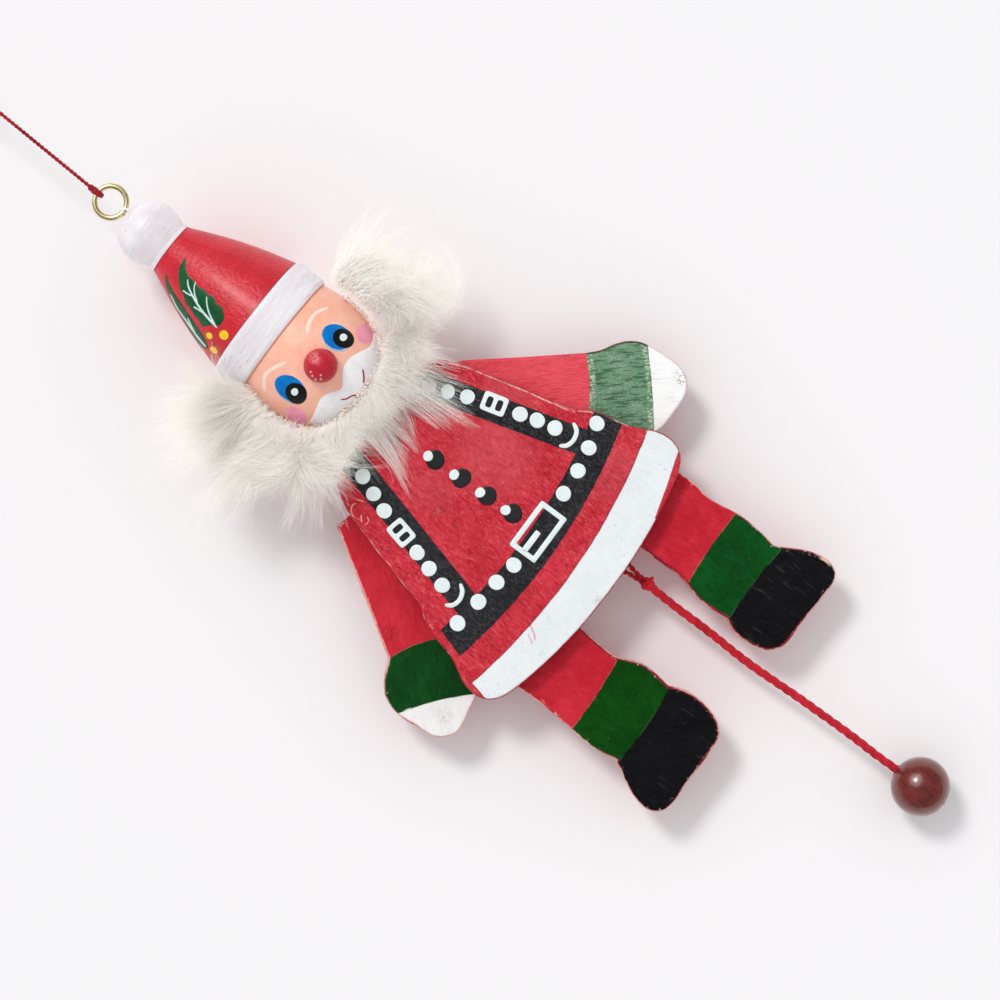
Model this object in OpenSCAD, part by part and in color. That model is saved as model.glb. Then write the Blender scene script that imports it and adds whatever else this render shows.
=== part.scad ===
// A wooden winter figure that raises its arms and legs when the bead below it is pulled.
// It hangs from a brass screw eye. The frame's origin is the centre of that eye,
// +Z is up, +X is to the viewer's right and the painted front faces -Y.

/* [Hanging eye] */
// Outer diameter of the brass ring
eye_d = 7.6; // [6:0.1:10]
// Diameter of the brass wire
eye_wire_d = 1.2; // [0.8:0.1:1.6]
// Length of the shank that is screwed into the wood, from the ring's lowest wire
eye_shank_l = 14; // [10:0.5:18]
// Gap in the ring beside its shank, in degrees
eye_gap = 18; // [14:1:40]

/* [Hat ball] */
// Diameter of the ball on the hat
ball_d = 13.2; // [10:0.2:16]
// Distance of the ball's widest ring below the eye's centre
ball_drop = 9.6; // [9.2:0.1:11]
// Height of the ball above its widest ring
ball_top_h = 5.75; // [5:0.05:6]
// Distance below the widest ring at which the lower half would close
ball_low_h = 8; // [7:0.1:10]
// Diameter of the collar under the ball
collar_d = 11.4; // [10:0.2:13]
// Thickness of the collar
collar_h = 0.8; // [0.5:0.1:1.5]

/* [Head] */
// Lean of the turned head to the left, in degrees
head_lean = 2.4; // [0:0.2:5]
// Distance of the hat's top below the eye's centre
hat_drop = 15.3; // [15.2:0.1:17]
// Diameter of the hat at its top
hat_top_d = 11; // [9:0.2:13]
// Diameter of the hat at its brim
hat_base_d = 26.4; // [24:0.2:27]
// Height of the hat's cone
hat_h = 21.6; // [18:0.2:26]
// How far the hat's side swells beyond a straight cone
hat_swell = 0.65; // [0:0.05:1.2]
// Diameter of the brim
brim_d = 27.5; // [26.5:0.1:30]
// Height of the brim
brim_h = 7; // [5:0.2:9]
// Radius on the brim's two edges
brim_round = 0.7; // [0.3:0.1:1.5]
// Depth of the two turned lines in the brim
brim_line_depth = 0.15; // [0.05:0.05:0.3]
// Largest diameter of the face
face_d = 27.4; // [25:0.2:28]
// Distance of the face's widest ring below the brim
face_wide_drop = 6.2; // [4:0.2:8]
// Distance from the widest ring down to where the chin would close
chin_h = 16.1; // [14:0.1:18]
// Height of the flat turned away under the chin
chin_cut_h = 1; // [0.5:0.1:2]
// Diameter of the nose
nose_d = 6.8; // [5:0.1:8]
// Distance of the nose below the brim
nose_drop = 10.1; // [8:0.1:12]
// How far the nose's centre stands out of the face
nose_stand = 1.2; // [0.5:0.1:2]

/* [Coat] */
// Distance of the figure's centre line to the left of the hanging eye
body_offset = 5; // [3:0.5:7]
// Distance of the shoulders below the eye's centre
shoulder_drop = 68.5; // [67:0.5:72]
// Length of the coat from shoulders to hem
coat_l = 58; // [54:1:66]
// Width of the coat at its hem
coat_w = 64.4; // [60:0.2:72]
// Thickness of the coat board
coat_t = 4; // [3:0.5:5]
// Lean of the coat to the left, in degrees
coat_lean = 2; // [0:0.5:3]
// Width of the tongue that holds the head
tongue_w = 12; // [8:0.5:16]
// Length of the tongue above the shoulders
tongue_l = 9; // [6:0.5:12]
// Clearance round the tongue's edges in the head
tongue_clearance = 0.1; // [0.05:0.05:0.3]

/* [Arms and legs] */
// Thickness of the arm and leg boards
limb_t = 3; // [2.5:0.5:4]
// Gap between the coat board and the limbs behind it
limb_gap = 0.3; // [0.2:0.05:0.6]
// Length of an arm, which its outline follows
arm_l = 50; // [46:1:54]
// Length of a leg, which its outline follows
leg_l = 50; // [48:1:56]
// Distance of each shoulder nail from the figure's centre line
shoulder_nail_x = 17; // [15:0.5:18]
// Distance of the shoulder nails below the shoulders
shoulder_nail_drop = 15; // [14:0.5:17]
// Distance of each hip nail from the figure's centre line
hip_nail_x = 21.4; // [21:0.2:23]
// Distance of the hip nails below the shoulders
hip_nail_drop = 49.5; // [49:0.5:51]
// Rest angle of the left arm away from its side, in degrees
left_arm_rest = 35; // [32:1:40]
// Rest angle of the right arm away from its side, in degrees
right_arm_rest = 39; // [34:1:42]

/* [Nails] */
// Diameter of a nail
nail_d = 1.2; // [1:0.1:1.6]
// Diameter of a nail's head
nail_head_d = 3; // [2.4:0.1:4]
// Thickness of a nail's head
nail_head_t = 0.7; // [0.5:0.1:1]
// Running clearance between a nail and its limb, on the radius
nail_clearance = 0.05; // [0.02:0.01:0.1]
// Depth of a nail in the coat board
nail_depth = 3; // [2:0.1:3.4]

/* [Pull mechanism] */
// Swing of each arm when the bead is pulled right down, in degrees
arm_swing = 80; // [60:5:90]
// Swing of each leg when the bead is pulled right down, in degrees
leg_swing = 55; // [50:5:60]
// Distance of an arm's string hole from its nail
arm_hole_r = 6.5; // [5:0.1:7]
// Least wood round a string hole
hole_wall = 0.7; // [0.5:0.1:1]
// Diameter of the strings behind the figure
string_d = 1; // [0.8:0.1:1.2]
// Diameter of the knots that tie the strings to the limbs
string_knot_d = 1.7; // [1.4:0.1:2]
// Distance of the arm strings' meeting knot below their ends
arm_string_drop = 10; // [8:0.5:12]
// Distance of the leg strings' meeting knot below their ends
leg_string_drop = 8; // [7:0.5:9]
// Diameter of the knots where two strings meet
meeting_knot_d = 2.4; // [2:0.1:3]
// Diameter of the gathering knot under the hem
pull_knot_d = 3.2; // [2.6:0.1:4]
// Distance of the gathering knot below the hem
pull_knot_drop = 5.5; // [5:0.5:8]

/* [Pull cord and bead] */
// Diameter of the pull cord
cord_d = 1.9; // [1.6:0.1:2.2]
// Diameter of the wooden bead
bead_d = 12; // [10:0.5:16]
// Diameter of the bead's bore
bead_bore_d = 2.4; // [2.3:0.1:3]
// Diameter of the pocket for the knot in the bead's underside
bead_pocket_d = 4.4; // [4:0.1:5]
// Depth of that pocket
bead_pocket_h = 3.4; // [3:0.1:4]

/* [Hanging thread] */
// Diameter of the hanging thread
thread_d = 0.8; // [0.6:0.1:1]
// Inner length of the loop at the thread's upper end
thread_loop_l = 12; // [8:1:16]
// Inner width of that loop
thread_loop_w = 6; // [4:1:8]

/* [Beard] */
// Width of the fur from tip to tip, which its outline follows
beard_w = 62; // [56:1:66]
// Clearance between the fur and the wood behind it
beard_gap = 0.3; // [0.1:0.1:0.5]

/* [Hidden] */

// Overrun of every cut past the face that it opens
overrun = 1;
// Steps between two points of a curved outline, and of a swept soft form
outline_steps = 3;
soft_steps = 3;
// Segments of a round form
$fn = 64;

// Places along the head's own axis, counted down from the eye's centre
collar_drop = hat_drop - collar_h;
brim_drop = hat_drop + hat_h;
face_drop = brim_drop + brim_h;
face_wide = face_drop + face_wide_drop;
chin_drop = face_wide + chin_h - chin_cut_h;
nose_z = -(brim_drop + brim_h + nose_drop);
// Half the height over which the face narrows again towards the brim
face_top_h = 20;

// Depths from front to back
coat_front = -coat_t / 2;
coat_back = coat_t / 2;
limb_front = coat_back + limb_gap;
limb_back = limb_front + limb_t;
knot_y = limb_back + string_knot_d / 2 + limb_gap / 6;
string_y = knot_y + string_knot_d / 2 + string_d / 2 + limb_gap;
crossing_y = string_y + string_d + limb_gap;
pull_y = limb_back + cord_d * 0.65;

// Nail places
left_shoulder = [-body_offset - shoulder_nail_x, -shoulder_drop - shoulder_nail_drop];
right_shoulder = [-body_offset + shoulder_nail_x, -shoulder_drop - shoulder_nail_drop];
left_hip = [-body_offset - hip_nail_x, -shoulder_drop - hip_nail_drop];
right_hip = [-body_offset + hip_nail_x, -shoulder_drop - hip_nail_drop];

// The bead's travel, and the radius that gives the legs their swing over that travel
pull_travel = 2 * arm_hole_r * sin(arm_swing / 2);
leg_hole_r = pull_travel / (2 * sin(leg_swing / 2));
// String holes seen from their nails, with outward positive. They swing evenly past level.
arm_hole = arm_hole_r * [-cos(arm_swing / 2), sin(arm_swing / 2)];
leg_hole = leg_hole_r * [-cos(leg_swing / 2), sin(leg_swing / 2)];
string_hole_d = string_d + 0.2 * string_d;
string_sink_d = string_knot_d + 0.4 * string_d;

// Meeting knots, a little to the right of the centre line, where the pull strings draw them
arm_meeting = [-0.7 * body_offset, left_shoulder.y + arm_hole.y - arm_string_drop];
leg_meeting = [-0.3 * body_offset, left_hip.y + leg_hole.y - leg_string_drop];
gather = [0.04 * body_offset, -shoulder_drop - coat_l - pull_knot_drop];

// Route of the pull cord, from the gathering knot down through the bead
pull_cord_route = [
    [0.1, 6.5, -133.4], [-0.1, 6.5, -136], [-0.3, 6.5, -140], [-0.4, 6.5, -145],
    [-0.6, 6.5, -150], [-0.9, 6.5, -155], [-1, 6.5, -160], [-0.9, 6.5, -165],
    [-0.8, 6.5, -170], [-0.8, 6.5, -175], [-0.8, 6.5, -180], [-0.9, 6.5, -185],
    [-1.1, 6.5, -190], [-1.1, 6.5, -195], [-1.1, 6.5, -200], [-1.1, 6.5, -203.6]
];
bead_place = [-1.1, 6.5, -200.5];
// Route of the hanging thread, from the eye up to its loop
thread_route = [
    [0.1, 0, 5.2], [0.3, 0, 8], [0.5, 0, 11], [0.7, 0, 14], [0.9, 0, 17], [1.1, 0, 20],
    [1.3, 0, 23], [1.5, 0, 26], [1.7, 0, 29], [1.8, 0, 32], [1.9, 0, 35], [2, 0, 38]
];
thread_knot_d = 2.2 * thread_d;
thread_top = thread_route[len(thread_route) - 1] + [0, 0, thread_knot_d / 2];

// Coat outline from the shoulder to the middle of the hem:
// depth as a share of coat_l, distance from the middle as a share of half of coat_w
coat_side_shares = [
    [0.005, 0.36], [0.03, 0.49], [0.12, 0.58], [0.23, 0.637], [0.34, 0.693], [0.44, 0.736],
    [0.51, 0.772], [0.555, 0.825], [0.60, 0.862], [0.69, 0.898], [0.75, 0.945], [0.785, 0.98],
    [0.835, 1], [0.872, 0.992], [0.897, 0.97], [0.917, 0.935], [0.934, 0.88], [0.948, 0.80],
    [0.961, 0.70], [0.974, 0.58], [0.987, 0.42], [0.997, 0.22], [1, 0]
];

// Arm outlines as shares of arm_l from the nail, hanging straight down, outward positive.
// The first run goes from the cuff over the shoulder and back, the second round the hand.
left_arm_shares = [
    [[0.163, -0.475], [0.171, -0.20], [0.18, 0.07], [0.172, 0.098], [0.11, 0.125], [0.03, 0.17],
     [-0.05, 0.185], [-0.13, 0.155], [-0.17, 0.06], [-0.172, -0.20], [-0.16, -0.46]],
    [[-0.16, -0.46], [-0.185, -0.54], [-0.19, -0.61], [-0.165, -0.685], [-0.093, -0.76],
     [-0.02, -0.833], [0.028, -0.848], [0.092, -0.83], [0.142, -0.772], [0.192, -0.712],
     [0.221, -0.643], [0.222, -0.59], [0.196, -0.523], [0.163, -0.475]]
];
right_arm_shares = [
    [[0.148, -0.411], [0.147, -0.15], [0.146, 0.10], [0.11, 0.13], [0.04, 0.17], [-0.04, 0.185],
     [-0.12, 0.16], [-0.175, 0.08], [-0.185, -0.15], [-0.175, -0.42]],
    [[-0.175, -0.42], [-0.20, -0.52], [-0.208, -0.60], [-0.183, -0.684], [-0.087, -0.773],
     [-0.033, -0.805], [0.016, -0.811], [0.066, -0.789], [0.12, -0.729], [0.174, -0.645],
     [0.185, -0.582], [0.176, -0.529], [0.156, -0.474], [0.148, -0.411]]
];

// Leg outlines as shares of leg_l from the nail, outward positive.
// The first run goes from the ankle over the hip and back, the second round the boot.
left_leg_shares = [
    [[0.112, -0.58], [0.13, -0.48], [0.12, -0.36], [0.108, -0.22], [0.108, -0.06], [0.09, 0.02],
     [0.05, 0.085], [-0.02, 0.12], [-0.14, 0.125], [-0.204, 0.095], [-0.232, 0.03], [-0.234, -0.15],
     [-0.224, -0.25], [-0.222, -0.34], [-0.252, -0.42], [-0.262, -0.48], [-0.248, -0.584]],
    [[-0.248, -0.584], [-0.272, -0.65], [-0.276, -0.72], [-0.262, -0.79], [-0.235, -0.84],
     [-0.19, -0.87], [-0.10, -0.874], [0.02, -0.87], [0.12, -0.87], [0.18, -0.85],
     [0.207, -0.80], [0.195, -0.73], [0.165, -0.665], [0.112, -0.58]]
];
right_leg_shares = [
    [[0.096, -0.60], [0.108, -0.54], [0.116, -0.42], [0.10, -0.29], [0.112, -0.20], [0.116, -0.06],
     [0.10, 0.02], [0.06, 0.085], [-0.01, 0.12], [-0.13, 0.125], [-0.20, 0.095], [-0.226, 0.03],
     [-0.224, -0.17], [-0.226, -0.36], [-0.242, -0.43], [-0.258, -0.50], [-0.252, -0.614]],
    [[-0.252, -0.614], [-0.276, -0.66], [-0.286, -0.72], [-0.278, -0.785], [-0.255, -0.835],
     [-0.20, -0.868], [-0.068, -0.874], [0.05, -0.88], [0.112, -0.882], [0.154, -0.862],
     [0.174, -0.815], [0.169, -0.76], [0.152, -0.71], [0.122, -0.65], [0.096, -0.60]]
];

// The fur's sections from its left tip under the chin to its right tip, as shares of beard_w
// from the middle of the face: place across, place in depth, height, half width, half thickness
beard_shares = [
    [-0.37, -0.040, 0.34, 0.05, 0.030], [-0.37, -0.045, 0.23, 0.13, 0.055],
    [-0.355, -0.050, 0.065, 0.153, 0.066], [-0.306, -0.058, -0.097, 0.153, 0.062],
    [-0.177, -0.086, -0.242, 0.13, 0.048], [0, -0.100, -0.306, 0.137, 0.048],
    [0.177, -0.090, -0.258, 0.13, 0.048], [0.315, -0.060, -0.161, 0.145, 0.060],
    [0.363, -0.050, -0.048, 0.137, 0.060], [0.371, -0.042, 0.065, 0.065, 0.035]
];
beard_sides = 12;

// One step of a smooth curve from b to c, with a before and d after them
function between(a, b, c, d, t) =
    (2 * b + (c - a) * t + (2 * a - 5 * b + 4 * c - d) * t * t + (3 * b - a - 3 * c + d) * t * t * t) / 2;
// A smooth run through its points. The last point is left to the run that follows.
function curve(p, steps) = let (last = len(p) - 1) [
    for (i = [0 : last - 1]) for (s = [0 : steps - 1])
        between(p[max(i - 1, 0)], p[i], p[i + 1], p[min(i + 2, last)], s / steps)
];
function mirrored(p) = [for (i = [len(p) - 1 : -1 : 0]) [-p[i].x, p[i].y]];
function unit(v) = v / norm(v);

// A tube along a route: rings square to the route, closed at both ends
module tube(route, d, sides) {
    n = len(route);
    rings = [
        for (i = [0 : n - 1])
            let (t = unit(route[min(i + 1, n - 1)] - route[max(i - 1, 0)]),
                 u = unit(cross(t, [0, 1, 0])),
                 v = cross(t, u))
            for (k = [0 : sides - 1])
                route[i] + d / 2 * (cos(360 * k / sides) * u + sin(360 * k / sides) * v)
    ];
    walls = [
        for (i = [0 : n - 2]) for (k = [0 : sides - 1])
            let (a = i * sides + k, b = i * sides + (k + 1) % sides)
            each [[a, b + sides, b], [a, a + sides, b + sides]]
    ];
    ends = [
        for (k = [1 : sides - 2])
            each [[0, k, k + 1], [(n - 1) * sides, (n - 1) * sides + k + 1, (n - 1) * sides + k]]
    ];
    polyhedron(rings, concat(walls, ends));
}

// A board cut to an outline given in width and height, from y_front to y_back
module board(outline, y_front, y_back) {
    translate([0, y_back, 0])
        rotate([90, 0, 0])
            linear_extrude(height = y_back - y_front)
                polygon(outline);
}

// A cylinder along Y between two depths
module bore(x, z, d, y_front, y_back) {
    translate([x, y_front, z])
        rotate([-90, 0, 0])
            cylinder(h = y_back - y_front, d = d);
}

// Everything turned leans about the eye's centre
module leaning() {
    rotate([0, head_lean, 0]) children();
}

// The head's turned shape, a named amount larger where something seats round it
module head_turning(extra) {
    line_drops = [brim_drop + brim_h * 0.3, brim_drop + brim_h * 0.62];
    line_half = 2 * brim_line_depth;
    hat = [
        for (s = [0 : 0.125 : 1])
            [hat_top_d / 2 + (hat_base_d - hat_top_d) / 2 * s + hat_swell * sin(180 * s) + extra,
             -(hat_drop + hat_h * s)]
    ];
    r = brim_d / 2 + extra;
    brim = concat(
        [for (a = [90 : -30 : 0])
            [r - brim_round * (1 - cos(a)), -(brim_drop + brim_round * (1 - sin(a)))]],
        [for (line = line_drops) each [
            [r, -(line - line_half)], [r - brim_line_depth, -line], [r, -(line + line_half)]]],
        [for (a = [0 : 30 : 90])
            [r - brim_round * (1 - cos(a)), -(face_drop - brim_round * (1 - sin(a)))]]
    );
    face_turn = asin(face_wide_drop / face_top_h);
    chin_turn = asin((chin_h - chin_cut_h) / chin_h);
    face = concat(
        [for (a = [-face_turn : face_turn / 3 : -0.01])
            [face_d / 2 * cos(a) + extra, -(face_wide + face_top_h * sin(a))]],
        [for (i = [0 : 12])
            let (a = chin_turn * i / 12)
            [face_d / 2 * cos(a) + extra, -(face_wide + chin_h * sin(a))]]
    );
    rotate_extrude()
        polygon(concat([[0, -hat_drop]], hat, brim, face, [[0, -chin_drop]]));
}

// The coat board leans about the middle of its own height
module in_coat_board() {
    translate([-body_offset + coat_l * sin(coat_lean) / 2, 0, -shoulder_drop])
        rotate([0, coat_lean, 0])
            children();
}

module coat() {
    side = [for (s = coat_side_shares) [s[1] * coat_w / 2, -s[0] * coat_l]];
    right = concat(
        [[tongue_w / 2, tongue_l], [tongue_w / 2, 0]],
        curve(side, outline_steps),
        [side[len(side) - 1]]
    );
    left = mirrored(right);
    outline = concat(right, [for (i = [1 : len(left) - 1]) left[i]]);
    color([0.80, 0.16, 0.20])
    difference() {
        in_coat_board() board(outline, coat_front, coat_back);
        for (p = [left_shoulder, right_shoulder, left_hip, right_hip])
            bore(p.x, p.y, nail_d, coat_back - nail_depth - nail_d / 4, coat_back + overrun);
    }
}

module head() {
    color([0.80, 0.15, 0.18])
    difference() {
        leaning() head_turning(0);
        leaning() translate([0, -(face_d / 2 + nose_stand - nose_d / 12), nose_z]) sphere(d = nose_d);
        leaning() translate([0, 0, -hat_drop - (eye_shank_l - (hat_drop - eye_d / 2))])
            cylinder(h = eye_shank_l, d = eye_wire_d);
        // The slot that takes the coat board's tongue
        in_coat_board()
            translate([-tongue_w / 2 - tongue_clearance, coat_front, -overrun])
                cube([tongue_w + 2 * tongue_clearance, coat_t, tongue_l + tongue_clearance + overrun]);
    }
}

module hat_ball() {
    upper = [for (a = [90 : -10 : 0])
        [ball_d / 2 * cos(a), -(ball_drop - ball_top_h * sin(a))]];
    cut_turn = asin((collar_drop - ball_drop) / ball_low_h);
    lower = [for (i = [1 : 6])
        let (a = cut_turn * i / 6)
        [ball_d / 2 * cos(a), -(ball_drop + ball_low_h * sin(a))]];
    collar = [[collar_d / 2, -collar_drop], [collar_d / 2, -hat_drop], [0, -hat_drop]];
    color([0.88, 0.84, 0.88])
    leaning()
    difference() {
        rotate_extrude() polygon(concat(upper, lower, collar));
        translate([0, 0, -hat_drop - overrun])
            cylinder(h = hat_drop + overrun, d = eye_wire_d);
    }
}

module nose() {
    color([0.72, 0.10, 0.13])
    leaning()
        translate([0, -(face_d / 2 + nose_stand - nose_d / 12), nose_z])
            sphere(d = nose_d);
}

module screw_eye() {
    ring_r = (eye_d - eye_wire_d) / 2;
    color([0.72, 0.62, 0.32])
    leaning() {
        // The ring runs from the shank round to its free end
        rotate([90, 0, 0])
            rotate([0, 0, eye_gap - 90])
                rotate_extrude(angle = 360 - eye_gap)
                    translate([ring_r, 0])
                        circle(d = eye_wire_d);
        translate([0, 0, -ring_r]) sphere(d = eye_wire_d);
        translate([0, 0, -ring_r - eye_shank_l]) cylinder(h = eye_shank_l, d = eye_wire_d);
    }
}

module beard() {
    stations = [for (s = beard_shares) s * beard_w];
    rows = concat(curve(stations, soft_steps), [stations[len(stations) - 1]]);
    n = len(rows);
    middle = [-sin(head_lean) * face_wide, 0, -face_wide];
    points = [
        for (i = [0 : n - 1])
            let (a = rows[max(i - 1, 0)], b = rows[min(i + 1, n - 1)],
                 t = unit([b[0] - a[0], 0, b[2] - a[2]]),
                 u = [t.z, 0, -t.x])
            for (k = [0 : beard_sides - 1])
                middle + [rows[i][0], rows[i][1], rows[i][2]]
                + rows[i][3] * cos(360 * k / beard_sides) * u
                + rows[i][4] * sin(360 * k / beard_sides) * [0, 1, 0]
    ];
    walls = [
        for (i = [0 : n - 2]) for (k = [0 : beard_sides - 1])
            let (a = i * beard_sides + k, b = i * beard_sides + (k + 1) % beard_sides)
            each [[a, b + beard_sides, b], [a, a + beard_sides, b + beard_sides]]
    ];
    ends = [
        for (k = [1 : beard_sides - 2])
            each [[0, k, k + 1],
                  [(n - 1) * beard_sides, (n - 1) * beard_sides + k + 1, (n - 1) * beard_sides + k]]
    ];
    color([0.93, 0.90, 0.85])
    difference() {
        polyhedron(points, concat(walls, ends));
        leaning() head_turning(beard_gap);
        translate([-coat_w, coat_front - beard_gap, -shoulder_drop - coat_l])
            cube([2 * coat_w, coat_w, coat_l + 4 * beard_gap]);
    }
}

// A limb hangs from its nail at the origin, outward positive, and turns to its rest angle.
// Its string hole is sunk at the front for the knot.
module limb(shares, length, rest, hole) {
    runs = [for (run = shares) [for (p = run) p * length]];
    outline = concat(curve(runs[0], outline_steps), curve(runs[1], outline_steps));
    difference() {
        union() {
            rotate([0, -rest, 0]) board(outline, limb_front, limb_back);
            bore(hole.x, hole.y, string_sink_d + 2 * hole_wall, limb_front, limb_back);
        }
        bore(0, 0, nail_d + 2 * nail_clearance, limb_front - overrun, limb_back + overrun);
        bore(hole.x, hole.y, string_hole_d, limb_front - overrun, limb_back + overrun);
        bore(hole.x, hole.y, string_sink_d, limb_front - overrun, limb_front + limb_t / 2);
    }
}

module at(place) {
    translate([place.x, 0, place.y]) children();
}

module left_arm() {
    color([0.84, 0.18, 0.23])
    at(left_shoulder) mirror([1, 0, 0]) limb(left_arm_shares, arm_l, left_arm_rest, arm_hole);
}

module right_arm() {
    color([0.84, 0.18, 0.23])
    at(right_shoulder) limb(right_arm_shares, arm_l, right_arm_rest, arm_hole);
}

module left_leg() {
    color([0.84, 0.18, 0.23])
    at(left_hip) mirror([1, 0, 0]) limb(left_leg_shares, leg_l, 0, leg_hole);
}

module right_leg() {
    color([0.84, 0.18, 0.23])
    at(right_hip) limb(right_leg_shares, leg_l, 0, leg_hole);
}

// A nail driven from the back, through a limb and into the coat board
module nail(place) {
    head_front = limb_back + limb_gap / 3;
    color([0.62, 0.62, 0.60])
    at(place) {
        bore(0, 0, nail_d, coat_back - nail_depth, head_front + nail_head_t / 2);
        bore(0, 0, nail_head_d, head_front, head_front + nail_head_t);
    }
}

module left_shoulder_nail() { nail(left_shoulder); }
module right_shoulder_nail() { nail(right_shoulder); }
module left_hip_nail() { nail(left_hip); }
module right_hip_nail() { nail(right_hip); }

// The end of a string: a knot in the sunk front of the hole, the string through the hole,
// and a second knot behind the limb
module limb_knot(hole) {
    front_knot_y = limb_front + string_knot_d / 2;
    color([0.72, 0.10, 0.16])
    translate([hole.x, 0, hole.y]) {
        translate([0, front_knot_y, 0]) sphere(d = string_knot_d * 0.9);
        bore(0, 0, string_d, front_knot_y, knot_y);
        translate([0, knot_y, 0]) sphere(d = string_knot_d);
    }
}

module left_arm_knot() { at(left_shoulder) mirror([1, 0, 0]) limb_knot(arm_hole); }
module right_arm_knot() { at(right_shoulder) limb_knot(arm_hole); }
module left_leg_knot() { at(left_hip) mirror([1, 0, 0]) limb_knot(leg_hole); }
module right_leg_knot() { at(right_hip) limb_knot(leg_hole); }

// A string from one limb's knot to its meeting knot and on to the other limb's knot
module cross_string(left_place, right_place, hole, meeting) {
    left_end = [left_place.x - hole.x, string_y, left_place.y + hole.y];
    right_end = [right_place.x + hole.x, string_y, right_place.y + hole.y];
    middle = [meeting.x, string_y, meeting.y];
    color([0.75, 0.10, 0.16]) {
        tube([left_end, middle, right_end], string_d, 8);
        translate(middle) sphere(d = meeting_knot_d);
    }
}

module arm_string() { cross_string(left_shoulder, right_shoulder, arm_hole, arm_meeting); }
module leg_string() { cross_string(left_hip, right_hip, leg_hole, leg_meeting); }

// The arms' pull string runs behind the legs' string
module arm_pull_string() {
    color([0.75, 0.10, 0.16])
    tube([
        [arm_meeting.x, string_y, arm_meeting.y - meeting_knot_d / 2],
        [arm_meeting.x, crossing_y, arm_meeting.y - 3 * meeting_knot_d],
        [leg_meeting.x - 2 * string_d, crossing_y, leg_meeting.y + meeting_knot_d],
        [leg_meeting.x - 2 * string_d, crossing_y, leg_meeting.y - meeting_knot_d],
        [gather.x - string_d, pull_y, gather.y + pull_knot_drop],
        [gather.x - string_d / 2, pull_y, gather.y + pull_knot_d / 2]
    ], string_d, 8);
}

module leg_pull_string() {
    color([0.75, 0.10, 0.16])
    tube([
        [leg_meeting.x, string_y, leg_meeting.y - meeting_knot_d / 2],
        [gather.x + string_d, pull_y, gather.y + pull_knot_drop],
        [gather.x + string_d / 2, pull_y, gather.y + pull_knot_d / 2]
    ], string_d, 8);
}

module pull_knot() {
    color([0.70, 0.09, 0.15])
    translate([gather.x, pull_y, gather.y])
        sphere(d = pull_knot_d);
}

module pull_cord() {
    color([0.75, 0.10, 0.16]) tube(pull_cord_route, cord_d, 8);
}

module pull_bead() {
    color([0.43, 0.14, 0.11])
    translate(bead_place)
    difference() {
        sphere(d = bead_d);
        translate([0, 0, -bead_d / 2 - overrun])
            cylinder(h = bead_d + 2 * overrun, d = bead_bore_d);
        translate([0, 0, -bead_d / 2 - overrun])
            cylinder(h = bead_pocket_h + overrun, d = bead_pocket_d);
    }
}

module bead_knot() {
    color([0.70, 0.09, 0.15])
    translate(bead_place - [0, 0, bead_d / 2 - bead_pocket_h / 2])
        sphere(d = bead_pocket_h * 0.9);
}

// The thread is tied round the ring's wire with a small knot above it
module hang_knot() {
    ring_r = (eye_d - eye_wire_d) / 2;
    wrap_r = eye_wire_d / 2 + thread_d / 2 + thread_d / 16;
    color([0.60, 0.08, 0.14]) {
        leaning()
            translate([0, 0, ring_r])
                rotate([0, 90, 0])
                    rotate_extrude()
                        translate([wrap_r, 0])
                            circle(d = thread_d);
        translate([0.1 * thread_d, 0, ring_r + wrap_r + 0.6 * thread_d]) sphere(d = 1.5 * thread_d);
    }
}

module hang_thread() {
    color([0.60, 0.08, 0.14]) tube(thread_route, thread_d, 8);
}

// The knot and loop that end the thread
module hang_loop() {
    straight = thread_loop_l - thread_loop_w;
    r = (thread_loop_w + thread_d) / 2;
    color([0.60, 0.08, 0.14])
    translate(thread_top) {
        sphere(d = thread_knot_d);
        translate([0, 0, thread_knot_d / 2 - thread_d / 4 + r]) {
            for (side = [-1, 1])
                translate([side * r, 0, 0]) cylinder(h = straight, d = thread_d);
            translate([0, 0, straight])
                rotate([90, 0, 0]) rotate_extrude(angle = 180) translate([r, 0]) circle(d = thread_d);
            rotate([-90, 0, 0]) rotate_extrude(angle = 180) translate([r, 0]) circle(d = thread_d);
        }
    }
}

coat();
head();
hat_ball();
nose();
screw_eye();
beard();
left_arm();
right_arm();
left_leg();
right_leg();
left_shoulder_nail();
right_shoulder_nail();
left_hip_nail();
right_hip_nail();
left_arm_knot();
right_arm_knot();
left_leg_knot();
right_leg_knot();
arm_string();
leg_string();
arm_pull_string();
leg_pull_string();
pull_knot();
pull_cord();
pull_bead();
bead_knot();
hang_knot();
hang_thread();
hang_loop();
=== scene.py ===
# A hanging wooden winter figure: painted boards, turned head, fur beard, strings and a pull bead.
# Places in this file are millimetres in the figure's own frame and become metres in Shape.piece().
import functools
import math
import random

import bmesh
import bpy
from mathutils import Matrix, Vector
from mathutils.bvhtree import BVHTree
from mathutils.geometry import delaunay_2d_cdt
from mathutils.noise import noise_vector, seed_set


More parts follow.
